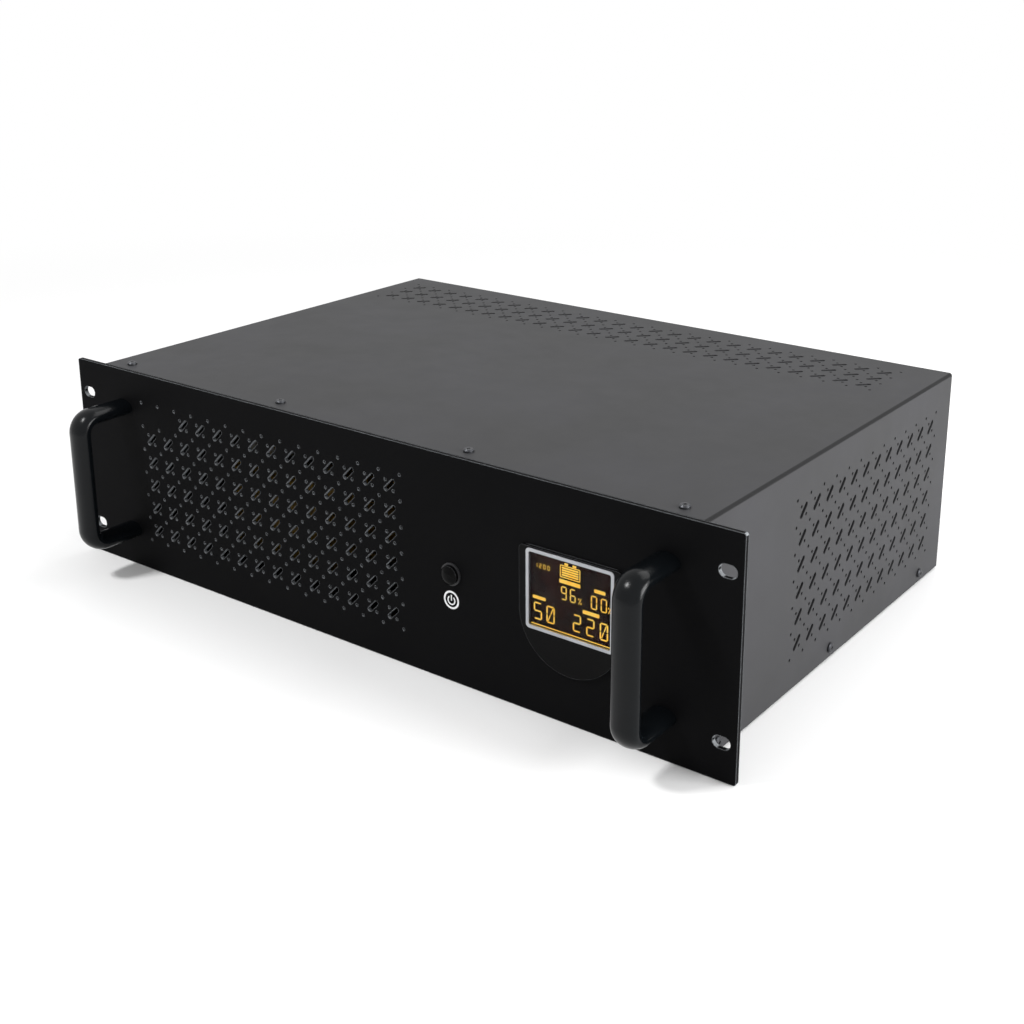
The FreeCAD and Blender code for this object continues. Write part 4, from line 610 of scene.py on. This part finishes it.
battery_sign = [panel(18.9, 2.9, 30.9, 3.4, 0.1), panel(18.9, 9.2, 30.9, 9.7, 0.1),
                panel(18.7, 3.4, 19.2, 9.2, 0.1), panel(30.6, 3.4, 31.1, 9.2, 0.1),
                panel(21.4, 1.5, 23.6, 2.7, 0.2), panel(26.4, 1.5, 28.6, 2.7, 0.2)]
battery_sign += [panel(19.8, 3.9 + 1.28 * k, 30.0, 4.8 + 1.28 * k, 0.15) for k in range(4)]
lit_labels = [panel(18.3, 10.7, 31.2, 12.8), panel(39.6, 10.7, 46.2, 12.6),
              panel(1.7, 24.0, 9.8, 25.8), panel(32.8, 23.8, 42.8, 25.8)]
small_figures = figures("96", 19.4, 14.4, 3.5, 7.4, 5.5, 0.62)
small_figures += figures("00", 37.7, 14.5, 3.7, 7.4, 5.9, 0.62)
small_figures += percent_sign(29.8, 18.2, 2.4, 3.5) + percent_sign(47.9, 18.2, 2.2, 3.5)
large_figures = figures("50", 2.3, 27.6, 5.2, 9.6, 8.0, 0.78, slashed=True)
large_figures += figures("220", 26.8, 27.6, 5.0, 9.6, 8.2, 0.78, slashed=True)
clock_figures = figures("1200", 3.0, 5.7, 1.6, 2.7, 2.6, 0.42)
base_line = [panel(0.7, 39.7, 49.7, 40.2, 0.1)]

for piece_name, outlines in (("lit_battery_sign", battery_sign), ("lit_label_bars", lit_labels),
                             ("lit_small_figures", small_figures), ("lit_large_figures", large_figures),
                             ("lit_clock_figures", clock_figures), ("lit_base_line", base_line)):
    lit = plates(piece_name, outlines, field_left, field_top, lit_front, plate_thickness, "lit_amber")

# %% [markdown]
# Under the button is the usual sign for power: a bar in the gap of a ring, inside a plain
# white ring. It is white ink on the panel's face, so it starts at the face and stands out
# by the ink's thickness, drawn at 0.04 mm so that it is a real closed shape.

# %% Print the power sign
panel_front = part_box("front_panel")[0].y
button_low, button_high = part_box("power_button")
sign_left_of_button, sign_below_button = 0.3 * mm, 15.2 * mm
sign_x = (button_low.x + button_high.x) / 2 - sign_left_of_button
sign_z = (button_low.z + button_high.z) / 2 - sign_below_button
ink_thickness = 0.04 * mm
sign_gap = math.radians(38)
power_sign = ring(0, 0, 5.25, 4.15, 64)
power_sign += ring(0, 0.2, 2.75, 2.0, 40, start=sign_gap, sweep=2 * math.pi - 2 * sign_gap)
power_sign.append(panel(-0.38, -3.0, 0.38, 0.4, 0.1))
plates("printed_power_sign", power_sign, sign_x, sign_z, panel_front - ink_thickness, ink_thickness,
       "white_screen_ink")

# %% [markdown]
# The stage is one wide, pale floor. A floor that simply ends would draw a line across the
# picture, so it fades to plain white with distance from the object, in the same white as
# the world behind it. Near the object it is lit like any surface and keeps the shadow.
# The white is shown to the camera, to mirrors and through glass, and isn't a lamp.

# %% Floor and background
floor_gap = 0.3 * mm
floor_height = cad_box[0].z - floor_gap
floor_radius = 6.0
floor_parts = 96
fade_start, fade_end = 0.5, 1.3
floor_mesh = bpy.data.meshes.new("pale_floor")
floor_angles = [2 * math.pi * k / floor_parts for k in range(floor_parts)]
floor_ring = [(floor_radius * math.cos(angle), floor_radius * math.sin(angle), floor_height)
              for angle in floor_angles]
floor_mesh.from_pydata(floor_ring, [], [list(range(floor_parts))])
floor = bpy.data.objects.new("pale_floor", floor_mesh)
bpy.context.scene.collection.objects.link(floor)


def seen_directly(tree):
    """1 for rays from the camera, a mirror or glass, and 0 for rays that carry light about."""
    path = add(tree, "ShaderNodeLightPath")
    camera_or_gloss = add(tree, "ShaderNodeMath", {}, operation="MAXIMUM")
    tree.links.new(path.outputs["Is Camera Ray"], camera_or_gloss.inputs[0])
    tree.links.new(path.outputs["Is Glossy Ray"], camera_or_gloss.inputs[1])
    any_of_three = add(tree, "ShaderNodeMath", {}, operation="MAXIMUM")
    tree.links.new(camera_or_gloss.outputs["Value"], any_of_three.inputs[0])
    tree.links.new(path.outputs["Is Transmission Ray"], any_of_three.inputs[1])
    return any_of_three.outputs["Value"]


def floor_finish():
    """Pale matt paper, fading to white between fade_start and fade_end metres from the origin."""
    material = bpy.data.materials.new("pale_paper_floor")
    material.use_nodes = True
    tree = material.node_tree
    tree.nodes.clear()
    place = add(tree, "ShaderNodeTexCoord").outputs["Object"]
    distance = add(tree, "ShaderNodeVectorMath", {}, operation="LENGTH")
    tree.links.new(place, distance.inputs[0])
    fade = add(tree, "ShaderNodeMapRange", {"Value": distance.outputs["Value"], "From Min": fade_start,
                                            "From Max": fade_end},
               interpolation_type="SMOOTHSTEP")
    shown = add(tree, "ShaderNodeMath", {}, operation="MULTIPLY")
    tree.links.new(fade.outputs["Result"], shown.inputs[0])
    tree.links.new(seen_directly(tree), shown.inputs[1])
    paper = add(tree, "ShaderNodeBsdfDiffuse", {"Color": linear("#f4f4f4")})
    white = add(tree, "ShaderNodeEmission", {"Color": linear("#ffffff"), "Strength": 1.0})
    surface = add(tree, "ShaderNodeMixShader", {"Fac": shown.outputs["Value"]})
    tree.links.new(paper.outputs["BSDF"], surface.inputs[1])
    tree.links.new(white.outputs["Emission"], surface.inputs[2])
    add(tree, "ShaderNodeOutputMaterial", {"Surface": surface.outputs["Shader"]})
    return material


floor_mesh.materials.append(floor_finish())

world = bpy.data.worlds.new("soft_white_room")
bpy.context.scene.world = world
world.use_nodes = True
world_tree = world.node_tree
world_tree.nodes.clear()
room_level = 0.55
room_strength = add(world_tree, "ShaderNodeMapRange", {"Value": seen_directly(world_tree),
                                                       "To Min": room_level, "To Max": 1.0})
room_white = add(world_tree, "ShaderNodeBackground", {"Color": linear("#ffffff"),
                                                      "Strength": room_strength.outputs["Result"]})
add(world_tree, "ShaderNodeOutputWorld", {"Surface": room_white.outputs["Background"]})
print("floor at", round(floor_height / mm, 1), "mm")

# %% [markdown]
# The light is that of a small studio: a wide soft box above and behind the object, which
# turns the black top grey and leaves the front in shade, and a second one on the right for
# the side. A small one in front, high on the left, puts a spot of light on the bends of
# the handles. The first two are large area lamps, because a large lamp makes soft shadows
# and long, gentle highlights on satin paint. All three look at the object's middle.

# %% Studio lamps
def soft_box(name, place, width, height, power):
    """A rectangular lamp that looks at the middle of the object."""
    lamp = bpy.data.lights.new(name, "AREA")
    lamp.shape = "RECTANGLE"
    lamp.size = width
    lamp.size_y = height
    lamp.energy = power
    holder = bpy.data.objects.new(name, lamp)
    bpy.context.scene.collection.objects.link(holder)
    holder.location = place
    middle = (cad_box[0] + cad_box[1]) / 2
    holder.rotation_euler = (middle - holder.location).to_track_quat("-Z", "Y").to_euler()
    print(name, "is", round((middle - holder.location).length, 2), "m away")


soft_box("soft_box_above", Vector((0.35, 0.95, 1.45)), 1.4, 1.0, 11)
soft_box("soft_box_right", Vector((1.70, 0.30, 0.42)), 1.0, 0.9, 42)
soft_box("spot_in_front", Vector((-0.50, -0.72, 1.20)), 0.26, 0.20, 13)

# %% [markdown]
# The camera stands in front and to the right, a little above the top cover, and looks
# across the object to its left. Its lens is a mild telephoto, and the small shift keeps
# the object in the middle while the camera tilts less, so that upright edges lean less.

# %% Camera
camera_lens = bpy.data.cameras.new("camera")
camera_lens.sensor_width = 36.0
camera_lens.lens = 51.93
camera_lens.shift_x = -0.0469
camera_lens.shift_y = -0.1289
camera = bpy.data.objects.new("camera", camera_lens)
camera.location = (0.53577, -0.55362, 0.32570)
camera.rotation_euler = [math.radians(turn) for turn in (73.108, -0.202, 35.964)]
bpy.context.scene.collection.objects.link(camera)
bpy.context.scene.camera = camera
bpy.context.scene.view_settings.view_transform = "Standard"
print("camera is", round(camera.location.length, 3), "m from the origin")
